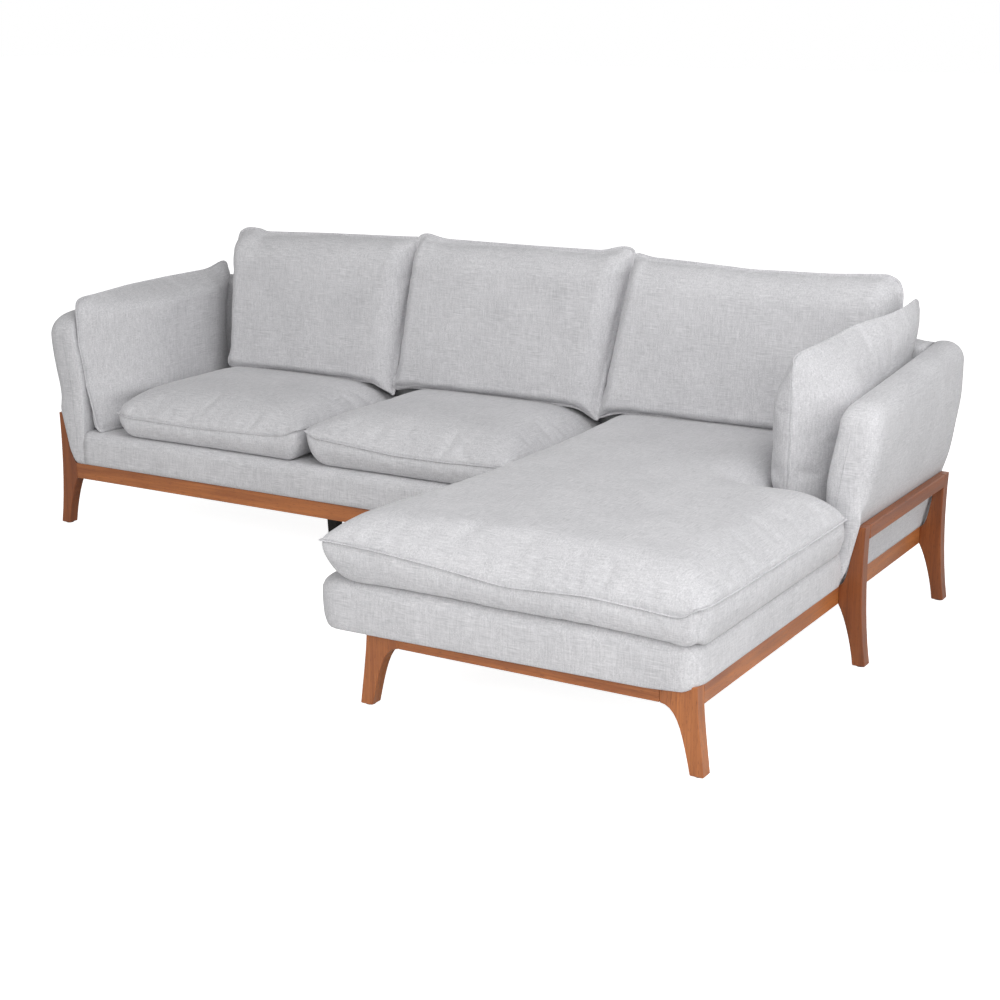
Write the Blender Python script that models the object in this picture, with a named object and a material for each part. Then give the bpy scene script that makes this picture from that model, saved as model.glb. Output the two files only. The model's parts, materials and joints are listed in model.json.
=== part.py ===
"""Corner sofa with a chaise on its right, on a stained wooden frame.

The sofa is two upholstered modules that stand side by side: a two-seat module with the left
arm, and a chaise module with the right arm. Each has wooden rails on legs, a padded base on a
slatted seat frame, a back and an arm, and eight loose cushions lie on them.

Frame of the model: +X to the sofa's right arm, +Y to its back, +Z up. The origin is on the
floor, under the middle of the whole sofa. Metres.
"""
import math

import bmesh
import bpy
from mathutils import Matrix, Vector

# Clearances
GAP = 0.0003
SEAT_GAP = 0.010
LIFT_GAP = 0.004
WOOD_GAP = 0.002

# Overall plan
FRAME_WIDTH = 2.520
CHAISE_WIDTH = 0.985
CHAISE_REACH = 0.835
SOFA_DEPTH = 0.685
CUSHION_OVERHANG = 0.030
REAR_SETBACK = 0.023

# Wooden rails and joists
RAIL_UNDERSIDE = 0.156
RAIL_HEIGHT = 0.049
RAIL_THICKNESS = 0.028
JOIST_WIDTH = 0.045
END_RAIL_SETBACK = 0.030
WOOD_EDGE = 0.0015

# Legs and glides
GLIDE_HEIGHT = 0.003
GLIDE_RADIUS = 0.012
LEG_THICKNESS = 0.036
FOOT_WIDTH = 0.033
CHAISE_LEG_KICK = 0.020
CHAISE_LEG_HEAD = 0.088
CHAISE_LEG_INSET = 0.140
SUPPORT_TOP = 0.042
SUPPORT_FOOT = 0.030

# Arm legs, on the outer faces of the side rails, with posts up to the arm rails
ARM_LEG_KICK = 0.077
ARM_POST_HEIGHT = 0.361
ARM_POST_REACH = 0.062
ARM_POST_WAIST = 0.057
ARM_POST_HEAD = 0.023
ARM_RAIL_HEIGHT = 0.036

# Steel plates that join the two modules
PLATE_WIDTH = 0.040
PLATE_THICKNESS = 0.003
PLATE_SETBACK = 0.150

# Upholstered bases and their seat frames
BASE_HEIGHT = 0.105
BASE_BULGE = 0.007
BASE_LEFT_BULGE = 0.007
BASE_EDGE = 0.036
BASE_CORNER = 0.055
BASE_WALL = 0.022
DUST_COVER = 0.001
SEAT_FRAME_HEIGHT = 0.052
SEAT_FRAME_BEAM = 0.028
SLAT_WIDTH = 0.045
SLAT_SPACING = 0.240

# Arms
ARM_FOOT = 0.045
ARM_INNER_LEAN = 0.035
ARM_LEAN_HEIGHT = 0.340
ARM_BULGE = 0.088
ARM_BULGE_HEIGHT = 0.600
ARM_FRONT_HEIGHT = 0.668
ARM_REAR_HEIGHT = 0.728
ARM_TOP_RADIUS = 0.055
ARM_FRONT_CORNER = 0.070
ARM_REAR_CORNER = 0.045
ARM_END_RADIUS = 0.045
ARM_BOARD = 0.020
ARM_PAD_TOP = 0.085
ARM_PAD_END = 0.075

# Back
BACK_HEIGHT = 0.730
BACK_FOOT = 0.118
BACK_RAKE = math.radians(3.0)
BACK_TOP_RADIUS = 0.030
BACK_BOARD = 0.022
BACK_PAD_TOP = 0.050
BACK_PAD_END = 0.060

# Seat cushions and the chaise cushion
SEAT_SEAM_HEIGHT = 0.062
SEAT_THICKNESS = 0.154
SEAT_DOME = 0.006
SEAT_ROLL = 0.110
SEAT_UNDER_ROLL = 0.050
SEAT_EAR = 0.014
SEAT_DRAW_IN = 0.006
SEAT_OVERHANG = 0.015
ARM_CUSHION_SPACE = 0.160
FIRST_SEAT_WIDTH = 0.740
CHAISE_CUSHION_INSET = 0.032
CHAISE_CUSHION_TAPER = 0.028
CHAISE_ARM_SPACE = 0.215
CHAISE_WING_OVERHANG = 0.024

# Back cushions
BACK_CUSHION_HEIGHT = 0.441
BACK_CUSHION_FRONT = 0.090
BACK_CUSHION_REAR = 0.078
BACK_CUSHION_ROLL = 0.120
BACK_CUSHION_EAR = 0.004
BACK_CUSHION_DRAW_IN = 0.007
BACK_CUSHION_INSET = 0.220
BACK_CUSHION_SPACE = 0.062
FIRST_BACK_SHARE = 0.315
SECOND_BACK_SHARE = 0.321
THIRD_BACK_SPREAD = 0.012

# Arm cushions
ARM_CUSHION_ROLL = 0.110
ARM_CUSHION_EAR = 0.012
LEFT_CUSHION_INSET = 0.006
LEFT_CUSHION_LENGTH = 0.555
LEFT_CUSHION_HEIGHT = 0.415
LEFT_CUSHION_RISE = 0.045
LEFT_CUSHION_SEAM = 0.034
LEFT_CUSHION_TURN = 0.080
LEFT_CUSHION_REACH = 0.172
RIGHT_CUSHION_INSET = 0.032
RIGHT_CUSHION_LENGTH = 0.520
RIGHT_CUSHION_HEIGHT = 0.440
RIGHT_CUSHION_RISE = 0.080
RIGHT_CUSHION_SEAM = 0.146
RIGHT_CUSHION_TURN = -0.118
RIGHT_CUSHION_REACH = 0.190
RIGHT_CUSHION_TAIL = 0.034
RIGHT_TAIL_START = 0.234
RIGHT_TAIL_LENGTH = 0.220

# Places worked out from the sizes above
TOTAL_DEPTH = CUSHION_OVERHANG + CHAISE_REACH + SOFA_DEPTH
CHAISE_FRONT_Y = CUSHION_OVERHANG - TOTAL_DEPTH / 2
SOFA_FRONT_Y = CHAISE_FRONT_Y + CHAISE_REACH
BACK_Y = SOFA_FRONT_Y + SOFA_DEPTH
BACK_FACE_Y = BACK_Y - BACK_FOOT
REAR_RAIL_Y = BACK_Y - REAR_SETBACK
REAR_LEG_Y = REAR_RAIL_Y - LEG_THICKNESS
SIDE_X = FRAME_WIDTH / 2
SPLIT_X = SIDE_X - CHAISE_WIDTH
CHAISE_RAIL_X = SPLIT_X + CHAISE_LEG_INSET
END_RAIL_X = SPLIT_X - END_RAIL_SETBACK
SOFA_MIDDLE_X = (END_RAIL_X - SIDE_X) / 2
SOFA_MIDDLE_Y = (SOFA_FRONT_Y + REAR_RAIL_Y) / 2
RAIL_TOP = RAIL_UNDERSIDE + RAIL_HEIGHT
DECK_Z = RAIL_TOP + BASE_HEIGHT
BASE_Z = RAIL_TOP + GAP
SEAT_FRAME_Z = BASE_Z + DUST_COVER + GAP
CUSHION_Z = DECK_Z + GAP
SEAM_Z = CUSHION_Z + SEAT_SEAM_HEIGHT
SEAT_TOP_Z = CUSHION_Z + SEAT_THICKNESS + SEAT_DOME
ARM_TOP_INSET = ARM_FOOT - ARM_INNER_LEAN
POST_INNER = ARM_POST_REACH - ARM_POST_HEAD
SEAT_LEFT_X = -SIDE_X + ARM_CUSHION_SPACE
SEAT_SPLIT_X = SEAT_LEFT_X + FIRST_SEAT_WIDTH
CHAISE_CUSHION_X = SPLIT_X + CHAISE_CUSHION_INSET
SEAT_RIGHT_X = CHAISE_CUSHION_X + CHAISE_CUSHION_TAPER - SEAT_GAP


def clear_scene():
    """Remove whatever the file holds, so that the model starts from nothing."""
    for item in list(bpy.data.objects):
        bpy.data.objects.remove(item, do_unlink=True)
    for mesh in list(bpy.data.meshes):
        bpy.data.meshes.remove(mesh)


def material(name, colour, roughness, metallic=0.0):
    """A plain Principled material of one colour."""
    made = bpy.data.materials.new(name)
    made.use_nodes = True
    shader = made.node_tree.nodes["Principled BSDF"]
    shader.inputs["Base Color"].default_value = (*colour, 1.0)
    shader.inputs["Roughness"].default_value = roughness
    shader.inputs["Metallic"].default_value = metallic
    return made


def finish_object(name, mesh_data, finish, smooth=False):
    """Turn a bmesh into a named object with one material."""
    bmesh.ops.recalc_face_normals(mesh_data, faces=mesh_data.faces)
    if mesh_data.calc_volume(signed=True) < 0:
        bmesh.ops.reverse_faces(mesh_data, faces=mesh_data.faces)
    mesh = bpy.data.meshes.new(name)
    mesh_data.to_mesh(mesh)
    mesh_data.free()
    mesh.materials.append(finish)
    if smooth:
        mesh.shade_smooth()
        mesh.set_sharp_from_angle(angle=math.radians(40))
    made = bpy.data.objects.new(name, mesh)
    bpy.context.collection.objects.link(made)
    return made


def bevel(target, width):
    """Ease the edges of a wooden piece with a Bevel modifier."""
    ease = target.modifiers.new("eased_edges", "BEVEL")
    ease.width = width
    ease.segments = 1
    ease.limit_method = "ANGLE"
    ease.angle_limit = math.radians(40)
    return target


def cut(target, cutter):
    """Take a cutter's shape out of a piece with an exact Boolean."""
    cutter.hide_render = True
    cutter.display_type = "WIRE"
    knife = target.modifiers.new("cut", "BOOLEAN")
    knife.operation = "DIFFERENCE"
    knife.solver = "EXACT"
    knife.object = cutter
    return target


def box(name, low, high, finish):
    """A box between two opposite corners."""
    mesh_data = bmesh.new()
    bmesh.ops.create_cube(mesh_data, size=1.0)
    low = Vector(low)
    size = Vector(high) - low
    for vert in mesh_data.verts:
        vert.co = low + Vector((c + 0.5) * s for c, s in zip(vert.co, size))
    return finish_object(name, mesh_data, finish)


def prism(name, outline, start, depth, finish):
    """Extrude an outline of (x, z) points along +Y, from start, by depth."""
    mesh_data = bmesh.new()
    corners = [mesh_data.verts.new((x, start, z)) for x, z in outline]
    face = mesh_data.faces.new(corners)
    grown = bmesh.ops.extrude_face_region(mesh_data, geom=[face])["geom"]
    far = [item for item in grown if isinstance(item, bmesh.types.BMVert)]
    bmesh.ops.translate(mesh_data, vec=(0, depth, 0), verts=far)
    return finish_object(name, mesh_data, finish)


def lofted(name, rings, finish, rungs=0, fanned=False):
    """A solid through a stack of rings with the same count of points.

    Each end is one flat face, a fan from its middle, or a ladder of rungs from the ring's start
    and its finish, with one face over the rest.
    """
    mesh_data = bmesh.new()
    layers = [[mesh_data.verts.new(point) for point in ring] for ring in rings]
    for lower, upper in zip(layers, layers[1:]):
        for k in range(len(lower)):
            after = (k + 1) % len(lower)
            mesh_data.faces.new([lower[k], lower[after], upper[after], upper[k]])
    ends = []
    for layer in (layers[0], layers[-1]):
        for k in range(rungs):
            mesh_data.faces.new([layer[k], layer[k + 1], layer[-k - 2], layer[-k - 1]])
        ends.append(mesh_data.faces.new(layer[rungs:len(layer) - rungs]))
    if fanned:
        bmesh.ops.poke(mesh_data, faces=ends)
    return finish_object(name, mesh_data, finish, smooth=True)


def bezier(start, pull, push, end, steps):
    """Points on a cubic curve from start to end, without its first point."""
    points = []
    for step in range(1, steps + 1):
        t = step / steps
        weights = ((1 - t) ** 3, 3 * t * (1 - t) ** 2, 3 * t * t * (1 - t), t ** 3)
        points.append(tuple(
            sum(w * p[axis] for w, p in zip(weights, (start, pull, push, end)))
            for axis in range(2)))
    return points


def eased(distance, radius):
    """Rise from 0 at an edge to 1 a radius further in, along a quarter of an ellipse."""
    share = min(max(distance / radius, 0.0), 1.0)
    return math.sqrt(1.0 - (1.0 - share) ** 2)


def smoothstep(value, low, high):
    """Rise softly from 0 at low to 1 at high."""
    share = min(max((value - low) / (high - low), 0.0), 1.0)
    return share * share * (3 - 2 * share)


def stations(low, high, count):
    """Places from low to high that crowd together towards both ends."""
    return [low + (high - low) * (1 - math.cos(math.pi * k / count)) / 2 for k in range(count + 1)]


def two_sheets(name, across, along, sheets, finish, keep=None):
    """A cushion between two sheets on one grid that meet along their common border.

    sheets is a pair of functions of a grid place that give the two sheets' points. Cells whose
    middle keep refuses are left out.
    """
    mesh_data = bmesh.new()
    layers = []
    for sheet in sheets:
        layers.append({(i, j): mesh_data.verts.new(sheet(u, v))
                       for i, u in enumerate(across) for j, v in enumerate(along)})
    for i in range(len(across) - 1):
        for j in range(len(along) - 1):
            middle = ((across[i] + across[i + 1]) / 2, (along[j] + along[j + 1]) / 2)
            if keep and not keep(*middle):
                continue
            ring = [(i, j), (i + 1, j), (i + 1, j + 1), (i, j + 1)]
            mesh_data.faces.new([layers[0][key] for key in ring])
            mesh_data.faces.new([layers[1][key] for key in reversed(ring)])
    loose = [vert for vert in mesh_data.verts if not vert.link_faces]
    bmesh.ops.delete(mesh_data, geom=loose, context="VERTS")
    bmesh.ops.remove_doubles(mesh_data, verts=mesh_data.verts, dist=0.00002)
    return finish_object(name, mesh_data, finish, smooth=True)


def glide(name, x, y, finish):
    """A round pad under a leg."""
    mesh_data = bmesh.new()
    bmesh.ops.create_cone(mesh_data, cap_ends=True, segments=16, radius1=GLIDE_RADIUS,
                          radius2=GLIDE_RADIUS, depth=GLIDE_HEIGHT)
    bmesh.ops.translate(mesh_data, verts=mesh_data.verts, vec=(x, y, GLIDE_HEIGHT / 2))
    return finish_object(name, mesh_data, finish, smooth=True)


def chaise_leg(name, side_x, outward, finish):
    """A sabre leg in line with the chaise's front rail, with its foot kicked outwards."""
    foot = GLIDE_HEIGHT + GAP
    heel = CHAISE_LEG_KICK - FOOT_WIDTH
    outer = [(0.0, RAIL_TOP)] + bezier(
        (0.0, RAIL_TOP), (0.0, 0.70 * RAIL_TOP), (0.6 * CHAISE_LEG_KICK, 0.34 * RAIL_TOP),
        (CHAISE_LEG_KICK, foot), 6)
    inner = [(heel, foot)] + bezier(
        (heel, foot), (heel - 0.021, 0.64 * RAIL_UNDERSIDE),
        (heel - 0.034, 0.985 * RAIL_UNDERSIDE), (-CHAISE_LEG_HEAD, RAIL_UNDERSIDE), 9)
    outline = outer + inner + [(-CHAISE_LEG_HEAD, RAIL_TOP)]
    placed = [(side_x + outward * a, z) for a, z in outline]
    made = prism(name, placed, CHAISE_FRONT_Y, LEG_THICKNESS, finish)
    return bevel(made, WOOD_EDGE)


def arm_leg(name, outward, front_y, finish):
    """A leg on a side rail's outer face: sabre foot, knee on the rail, post to the arm rail."""
    foot = GLIDE_HEIGHT + GAP
    heel = ARM_LEG_KICK - FOOT_WIDTH
    knee_low = RAIL_UNDERSIDE
    knee_high = RAIL_TOP - 0.004
    rise = ARM_POST_HEIGHT - knee_high
    outer = [(ARM_POST_REACH, ARM_POST_HEIGHT)] + bezier(
        (ARM_POST_REACH, ARM_POST_HEIGHT), (ARM_POST_WAIST, 0.75 * ARM_POST_HEIGHT),
        (ARM_POST_WAIST, 0.34 * ARM_POST_HEIGHT), (ARM_LEG_KICK, foot), 8)
    inner = [(heel, foot)] + bezier(
        (heel, foot), (heel - 0.008, 0.42 * knee_low), (heel - 0.028, 0.84 * knee_low),
        (GAP, knee_low), 7)
    neck = [(GAP, knee_high)] + bezier(
        (GAP, knee_high), (0.62 * POST_INNER, knee_high + 0.11 * rise),
        (0.70 * POST_INNER, knee_high + 0.62 * rise), (POST_INNER, ARM_POST_HEIGHT), 7)
    placed = [(outward * (SIDE_X + a), z) for a, z in outer + inner + neck]
    made = prism(name, placed, front_y, LEG_THICKNESS, finish)
    return bevel(made, WOOD_EDGE)


def support_leg(name, x, y, finish):
    """A plain tapered square leg under a rail, out of sight."""
    foot = GLIDE_HEIGHT + GAP
    top = RAIL_UNDERSIDE - GAP
    mesh_data = bmesh.new()
    bmesh.ops.create_cone(mesh_data, cap_ends=True, segments=4, depth=top - foot,
                          radius1=SUPPORT_FOOT / math.sqrt(2), radius2=SUPPORT_TOP / math.sqrt(2))
    bmesh.ops.rotate(mesh_data, verts=mesh_data.verts, cent=(0, 0, 0),
                     matrix=Matrix.Rotation(math.radians(45), 3, "Z"))
    bmesh.ops.translate(mesh_data, verts=mesh_data.verts, vec=(x, y, (top + foot) / 2))
    return finish_object(name, mesh_data, finish)


def arm_inner(z):
    """How far an arm's inner face lies inside the rail's outer face, at a height."""
    return ARM_FOOT - ARM_INNER_LEAN * smoothstep(z, DECK_Z, DECK_Z + ARM_LEAN_HEIGHT)


def inner_heights(top):
    """The heights at which an arm's inner face bends, up to a top."""
    bends = [DECK_Z + ARM_LEAN_HEIGHT * share for share in (0.0, 0.2, 0.5, 0.8, 1.0)]
    return [BASE_Z] + bends + [(bends[-1] + top) / 2, top]


def arm_outer(z):
    """How far an arm's outer face lies outside the rail's outer face, at a height."""
    neck = POST_INNER - WOOD_GAP
    if z < ARM_POST_HEIGHT:
        return neck * max(z - RAIL_TOP, 0.0) / (ARM_POST_HEIGHT - RAIL_TOP)
    share = min((z - ARM_POST_HEIGHT) / (ARM_BULGE_HEIGHT - ARM_POST_HEIGHT), 1.0)
    return neck + (ARM_BULGE - neck) * (1 - (1 - share) ** 1.6)


def back_face(z):
    """Where the inner face of the back lies, at a height."""
    return BACK_FACE_Y + math.tan(BACK_RAKE) * (z - RAIL_TOP)


def arm_section(y, front_y, rear_y):
    """One cross-section of an arm: up its inner face, over the top and down its outer face."""
    ahead = y - front_y
    behind = rear_y - y
    level = ARM_FRONT_HEIGHT + (ARM_REAR_HEIGHT - ARM_FRONT_HEIGHT) * ahead / (rear_y - front_y)
    drop = ARM_FRONT_CORNER * (1 - eased(ahead, ARM_FRONT_CORNER))
    drop += ARM_REAR_CORNER * (1 - eased(behind, ARM_REAR_CORNER))
    top = level - drop
    shoulder = top - ARM_TOP_RADIUS
    inner_share = 0.42 + 0.58 * eased(ahead, ARM_END_RADIUS)
    outer_share = inner_share - 0.55 * (1 - eased(behind, ARM_END_RADIUS))
    section = []
    for z in inner_heights(shoulder):
        section.append((arm_inner(z), z))
    for k in range(1, 8):
        angle = math.pi * k / 8
        z = shoulder + ARM_TOP_RADIUS * math.sin(angle)
        inner = arm_inner(shoulder)
        outer = -arm_outer(shoulder)
        section.append(((inner + outer) / 2 + (inner - outer) / 2 * math.cos(angle), z))
    for k in range(9):
        z = shoulder - (shoulder - BASE_Z) * k / 8
        section.append((-arm_outer(z), z))
    squeezed = []
    for a, z in section:
        middle = (arm_inner(z) - arm_outer(z)) / 2
        share = inner_share if a > middle else outer_share
        squeezed.append((middle + (a - middle) * share, z))
    return squeezed


def arm(side_name, side, cover, timber):
    """An upholstered arm and the frame inside it."""
    front_y = SOFA_FRONT_Y - BASE_BULGE
    rear_y = BACK_Y
    places = [0.0, 0.04, 0.14, 0.32, 0.6, 1.0]
    ahead = [front_y + ARM_FRONT_CORNER * share for share in places]
    behind = [rear_y - ARM_REAR_CORNER * share for share in reversed(places)]
    rings = []
    for y in ahead + [(ahead[-1] + behind[0]) / 2] + behind:
        rings.append([(side * (SIDE_X - a), y, z) for a, z in arm_section(y, front_y, rear_y)])
    shell = lofted("arm_" + side_name, rings, cover, fanned=True)
    top = ARM_FRONT_HEIGHT - ARM_PAD_TOP
    centre_top = (arm_inner(top) - arm_outer(top)) / 2
    centre_foot = RAIL_THICKNESS / 2
    for name, spare in (("arm_frame_" + side_name, 0.0), ("arm_hollow_" + side_name, GAP)):
        half = ARM_BOARD / 2 + spare
        low = BASE_Z - 20 * spare
        lean = (centre_top - centre_foot) / (top - BASE_Z)
        outline = [(centre_foot + lean * (low - BASE_Z) - half, low),
                   (centre_foot + lean * (low - BASE_Z) + half, low),
                   (centre_top + half, top + spare), (centre_top - half, top + spare)]
        placed = [(side * (SIDE_X - a), z) for a, z in outline]
        start = front_y + ARM_PAD_END - spare
        length = rear_y - front_y - 2 * ARM_PAD_END + 2 * spare
        board = prism(name, placed, start, length, timber)
    return cut(shell, board)


def back(side_name, outer_side, split_x, cover, timber):
    """An upholstered back between an arm and the split, and the frame inside it."""
    crown = BACK_HEIGHT - BACK_TOP_RADIUS
    section = []
    for z in inner_heights(crown):
        section.append((back_face(z), z))
    middle = (back_face(crown) + BACK_Y) / 2
    half = (BACK_Y - back_face(crown)) / 2
    for k in range(1, 8):
        angle = math.pi * k / 8
        section.append((middle - half * math.cos(angle), crown + BACK_TOP_RADIUS * math.sin(angle)))
    section += [(BACK_Y, z) for z in reversed(inner_heights(crown))]
    rings = []
    for share in (0.0, 0.33, 0.67, 1.0):
        ring = []
        for y, z in section:
            outer_x = outer_side * (SIDE_X - arm_inner(z) - GAP)
            ring.append((outer_x + (split_x - outer_x) * share, y, z))
        rings.append(ring)
    rungs = len(inner_heights(crown)) - 1
    shell = lofted("back_" + side_name, rings, cover, rungs, fanned=True)
    ends = sorted((outer_side * (SIDE_X - ARM_FOOT - BACK_PAD_END),
                   split_x + outer_side * BACK_PAD_END))
    centre = REAR_RAIL_Y - RAIL_THICKNESS / 2
    for name, spare in (("back_frame_" + side_name, 0.0), ("back_hollow_" + side_name, GAP)):
        low = (ends[0] - spare, centre - BACK_BOARD / 2 - spare, BASE_Z - 20 * spare)
        high = (ends[1] + spare, centre + BACK_BOARD / 2 + spare,
                BACK_HEIGHT - BACK_PAD_TOP + spare)
        board = box(name, low, high, timber)
    return cut(shell, board)


def plan_ring(corners, inset, z):
    """A square-cornered plan outline moved inwards, with its outer corners rounded.

    corners runs anticlockwise; every edge lies along X or Y.
    """
    ring = []
    count = len(corners)
    for k, corner in enumerate(corners):
        corner = Vector(corner)
        before = (corner - Vector(corners[k - 1])).normalized()
        after = (Vector(corners[(k + 1) % count]) - corner).normalized()
        normal_before = Vector((before.y, -before.x))
        normal_after = Vector((after.y, -after.x))
        if before.x * after.y - before.y * after.x < 0:
            point = corner - inset * (normal_before + normal_after)
            ring.append((point.x, point.y, z))
            continue
        radius = max(BASE_CORNER, inset + 0.004)
        centre = corner - radius * (normal_before + normal_after)
        for step in range(4):
            angle = math.pi / 2 * step / 3
            spoke = normal_before * math.cos(angle) + normal_after * math.sin(angle)
            point = centre + (radius - inset) * spoke
            ring.append((point.x, point.y, z))
    return ring


def base(side_name, corners, frame_low, frame_high, cover, timber, cloth):
    """An upholstered base with its slatted seat frame and the dust cover under it."""
    section = [(0.36, 0.0), (0.14, 0.10), (0.02, 0.28), (0.0, 0.45), (0.06, 0.62), (0.22, 0.80),
               (0.50, 0.93), (1.0, 1.0)]
    rings = [plan_ring(corners, BASE_EDGE * inset, BASE_Z + (DECK_Z - BASE_Z) * rise)
             for inset, rise in section]
    shell = lofted("base_" + side_name, rings, cover)
    top = SEAT_FRAME_Z + SEAT_FRAME_HEIGHT
    hollow = box("base_hollow_" + side_name, (*[c - GAP for c in frame_low], BASE_Z - 0.01),
                 (*[c + GAP for c in frame_high], top + GAP), cover)
    cut(shell, hollow)
    box("dust_cover_" + side_name, (*frame_low, BASE_Z), (*frame_high, BASE_Z + DUST_COVER), cloth)
    frame = box("seat_frame_" + side_name, (*frame_low, SEAT_FRAME_Z), (*frame_high, top), timber)
    spans = [frame_high[0] - frame_low[0], frame_high[1] - frame_low[1]]
    long_way = 0 if spans[0] > spans[1] else 1
    room = spans[long_way] - 2 * SEAT_FRAME_BEAM
    count = max(round((room + SLAT_WIDTH) / SLAT_SPACING), 1)
    window = (room - (count - 1) * SLAT_WIDTH) / count
    mesh_data = bmesh.new()
    for k in range(count):
        low = [frame_low[0] + SEAT_FRAME_BEAM, frame_low[1] + SEAT_FRAME_BEAM]
        high = [frame_high[0] - SEAT_FRAME_BEAM, frame_high[1] - SEAT_FRAME_BEAM]
        low[long_way] += k * (window + SLAT_WIDTH)
        high[long_way] = low[long_way] + window
        made = bmesh.ops.create_cube(mesh_data, size=1.0)["verts"]
        for vert in made:
            x, y, z = (c + 0.5 for c in vert.co)
            vert.co = (low[0] + (high[0] - low[0]) * x, low[1] + (high[1] - low[1]) * y,
                       SEAT_FRAME_Z - 0.01 + (SEAT_FRAME_HEIGHT + 0.02) * z)
    windows = finish_object("seat_frame_windows_" + side_name, mesh_data, timber)
    cut(frame, windows)
    return shell


def seat_heights(x, y, areas, roll):
    """How full a seat cushion is at a place, from 0 at its seam to 1, over one or two areas."""
    fullest = 0.0
    for x_low, x_high, y_low, y_high in areas:
        across = eased(min(x - x_low, x_high - x), roll)
        along = eased(min(y - y_low, y_high - y), roll)
        fullest = max(fullest, across * along)
    return fullest


def seat_cushion(name, areas, finish, taper=0.0):
    """A seat cushion over one area, or over two that share their left and front edges."""
    left, right = areas[0][0], max(area[1] for area in areas)
    front, rear = areas[0][2], areas[0][3]
    narrow = areas[0][1]
    wing_rear = areas[-1][3]
    across = stations(left, narrow, 13)
    along = stations(front, rear, 11)
    if len(areas) > 1:
        across = stations(left, narrow, 12) + stations(narrow, right, 6)[1:]
        along = stations(front, wing_rear, 11) + stations(wing_rear, rear, 9)[1:]

    def plan(x, y):
        reach = min((y - front) / (wing_rear - front), 1.0)
        lean = taper * reach * (right - x) / (right - left)
        waist_x = 4 * (y - front) * (rear - y) / (rear - front) ** 2
        waist_y = 4 * (x - left) * (right - x) / (right - left) ** 2
        inward_x = SEAT_DRAW_IN * waist_x * (1 - 2 * (x - left) / (narrow - left))
        inward_y = SEAT_DRAW_IN * waist_y * max(1 - (y - front) / (rear - front), 0.0)
        if x > narrow:
            inward_x = 0.0
        return x + lean + inward_x * (x <= narrow), y + inward_y

    def seam(x, y):
        share_x = abs(2 * (x - left) / (right - left) - 1) ** 10
        share_y = abs(2 * (y - front) / (rear - front) - 1) ** 10
        return SEAM_Z + SEAT_EAR * share_x * share_y

    def upper(x, y):
        full = seat_heights(x, y, areas, SEAT_ROLL)
        dome = math.sin(math.pi * (x - left) / (right - left))
        dome *= math.sin(math.pi * min((y - front) / (rear - front), 1.0))
        level = CUSHION_Z + SEAT_THICKNESS + SEAT_DOME * dome
        edge = seam(x, y)
        return (*plan(x, y), edge + (level - edge) * full)

    def lower(x, y):
        full = seat_heights(x, y, areas, SEAT_UNDER_ROLL)
        edge = seam(x, y)
        return (*plan(x, y), edge - (edge - CUSHION_Z) * full)

    def keep(x, y):
        return x < narrow or y < wing_rear

    return two_sheets(name, across, along, (upper, lower), finish, keep)


def back_cushion(name, left, right, spread, finish):
    """A back cushion that stands on the seats and leans on the back."""
    foot = SEAT_TOP_Z - WOOD_GAP

    def place(u, v):
        x_high = right + spread * smoothstep(v, 0.55, 1.0)
        waist = BACK_CUSHION_DRAW_IN * 4 * v * (1 - v)
        sag = BACK_CUSHION_DRAW_IN * 4 * u * (1 - u)
        x = left + waist + (x_high - left - 2 * waist) * u
        z = foot + (BACK_CUSHION_HEIGHT - sag) * v
        z += BACK_CUSHION_EAR * (abs(2 * u - 1) * v) ** 8
        edge_x = min(x - left - waist, x_high - waist - x)
        edge_z = min(v, 1 - v) * BACK_CUSHION_HEIGHT
        full = eased(edge_x, BACK_CUSHION_ROLL) * eased(edge_z, BACK_CUSHION_ROLL)
        plane = back_face(z) - GAP - BACK_CUSHION_REAR
        return x, plane, z, full

    def front(u, v):
        x, y, z, full = place(u, v)
        return x, y - BACK_CUSHION_FRONT * full, z

    def rear(u, v):
        x, y, z, full = place(u, v)
        return x, y + BACK_CUSHION_REAR * full, z

    return two_sheets(name, stations(0, 1, 14), stations(0, 1, 11), (front, rear), finish)


def arm_cushion(name, side, sizes, low_reach, finish, tail=None):
    """A cushion that stands on the deck against an arm, turned a little out of line with it.

    A tail is the thickness that the cushion is squeezed to behind a back cushion's end, with the
    distance from the cushion's front at which the squeeze starts and the length it takes.
    """
    inset, length, height, rise, seam, turn, reach = sizes
    front_y = SOFA_FRONT_Y + inset

    def place(u, v):
        level = height + rise * u + ARM_CUSHION_EAR * (abs(2 * u - 1) * v) ** 8
        z = CUSHION_Z + level * v
        y = front_y + (length + math.tan(BACK_RAKE) * level * v) * u
        face = arm_inner(z) - ARM_TOP_INSET + LIFT_GAP
        line = face + seam + turn * u
        inner = low_reach + (reach - low_reach) * smoothstep(z, SEAM_Z + 0.06, SEAT_TOP_Z + 0.05)
        if tail:
            thin, start, run = tail
            thin = max(thin, face + SEAT_GAP)
            squeeze = smoothstep(y, front_y + start, front_y + start + run)
            inner += (thin - inner) * squeeze
            line += ((face + thin) / 2 - line) * squeeze
        inner = max(inner, line + LIFT_GAP)
        edge = eased(min(u, 1 - u) * length, ARM_CUSHION_ROLL)
        edge *= eased(min(v, 1 - v) * level, ARM_CUSHION_ROLL)
        return y, z, face, line, inner, edge

    def point(offset, y, z):
        return side * (SIDE_X - ARM_TOP_INSET - offset), y, z

    def inside(u, v):
        y, z, face, line, inner, edge = place(u, v)
        return point(line + (inner - line) * edge, y, z)

    def outside(u, v):
        y, z, face, line, inner, edge = place(u, v)
        return point(line - (line - face) * edge, y, z)

    return two_sheets(name, stations(0, 1, 12), stations(0, 1, 11), (inside, outside), finish)


clear_scene()

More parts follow.
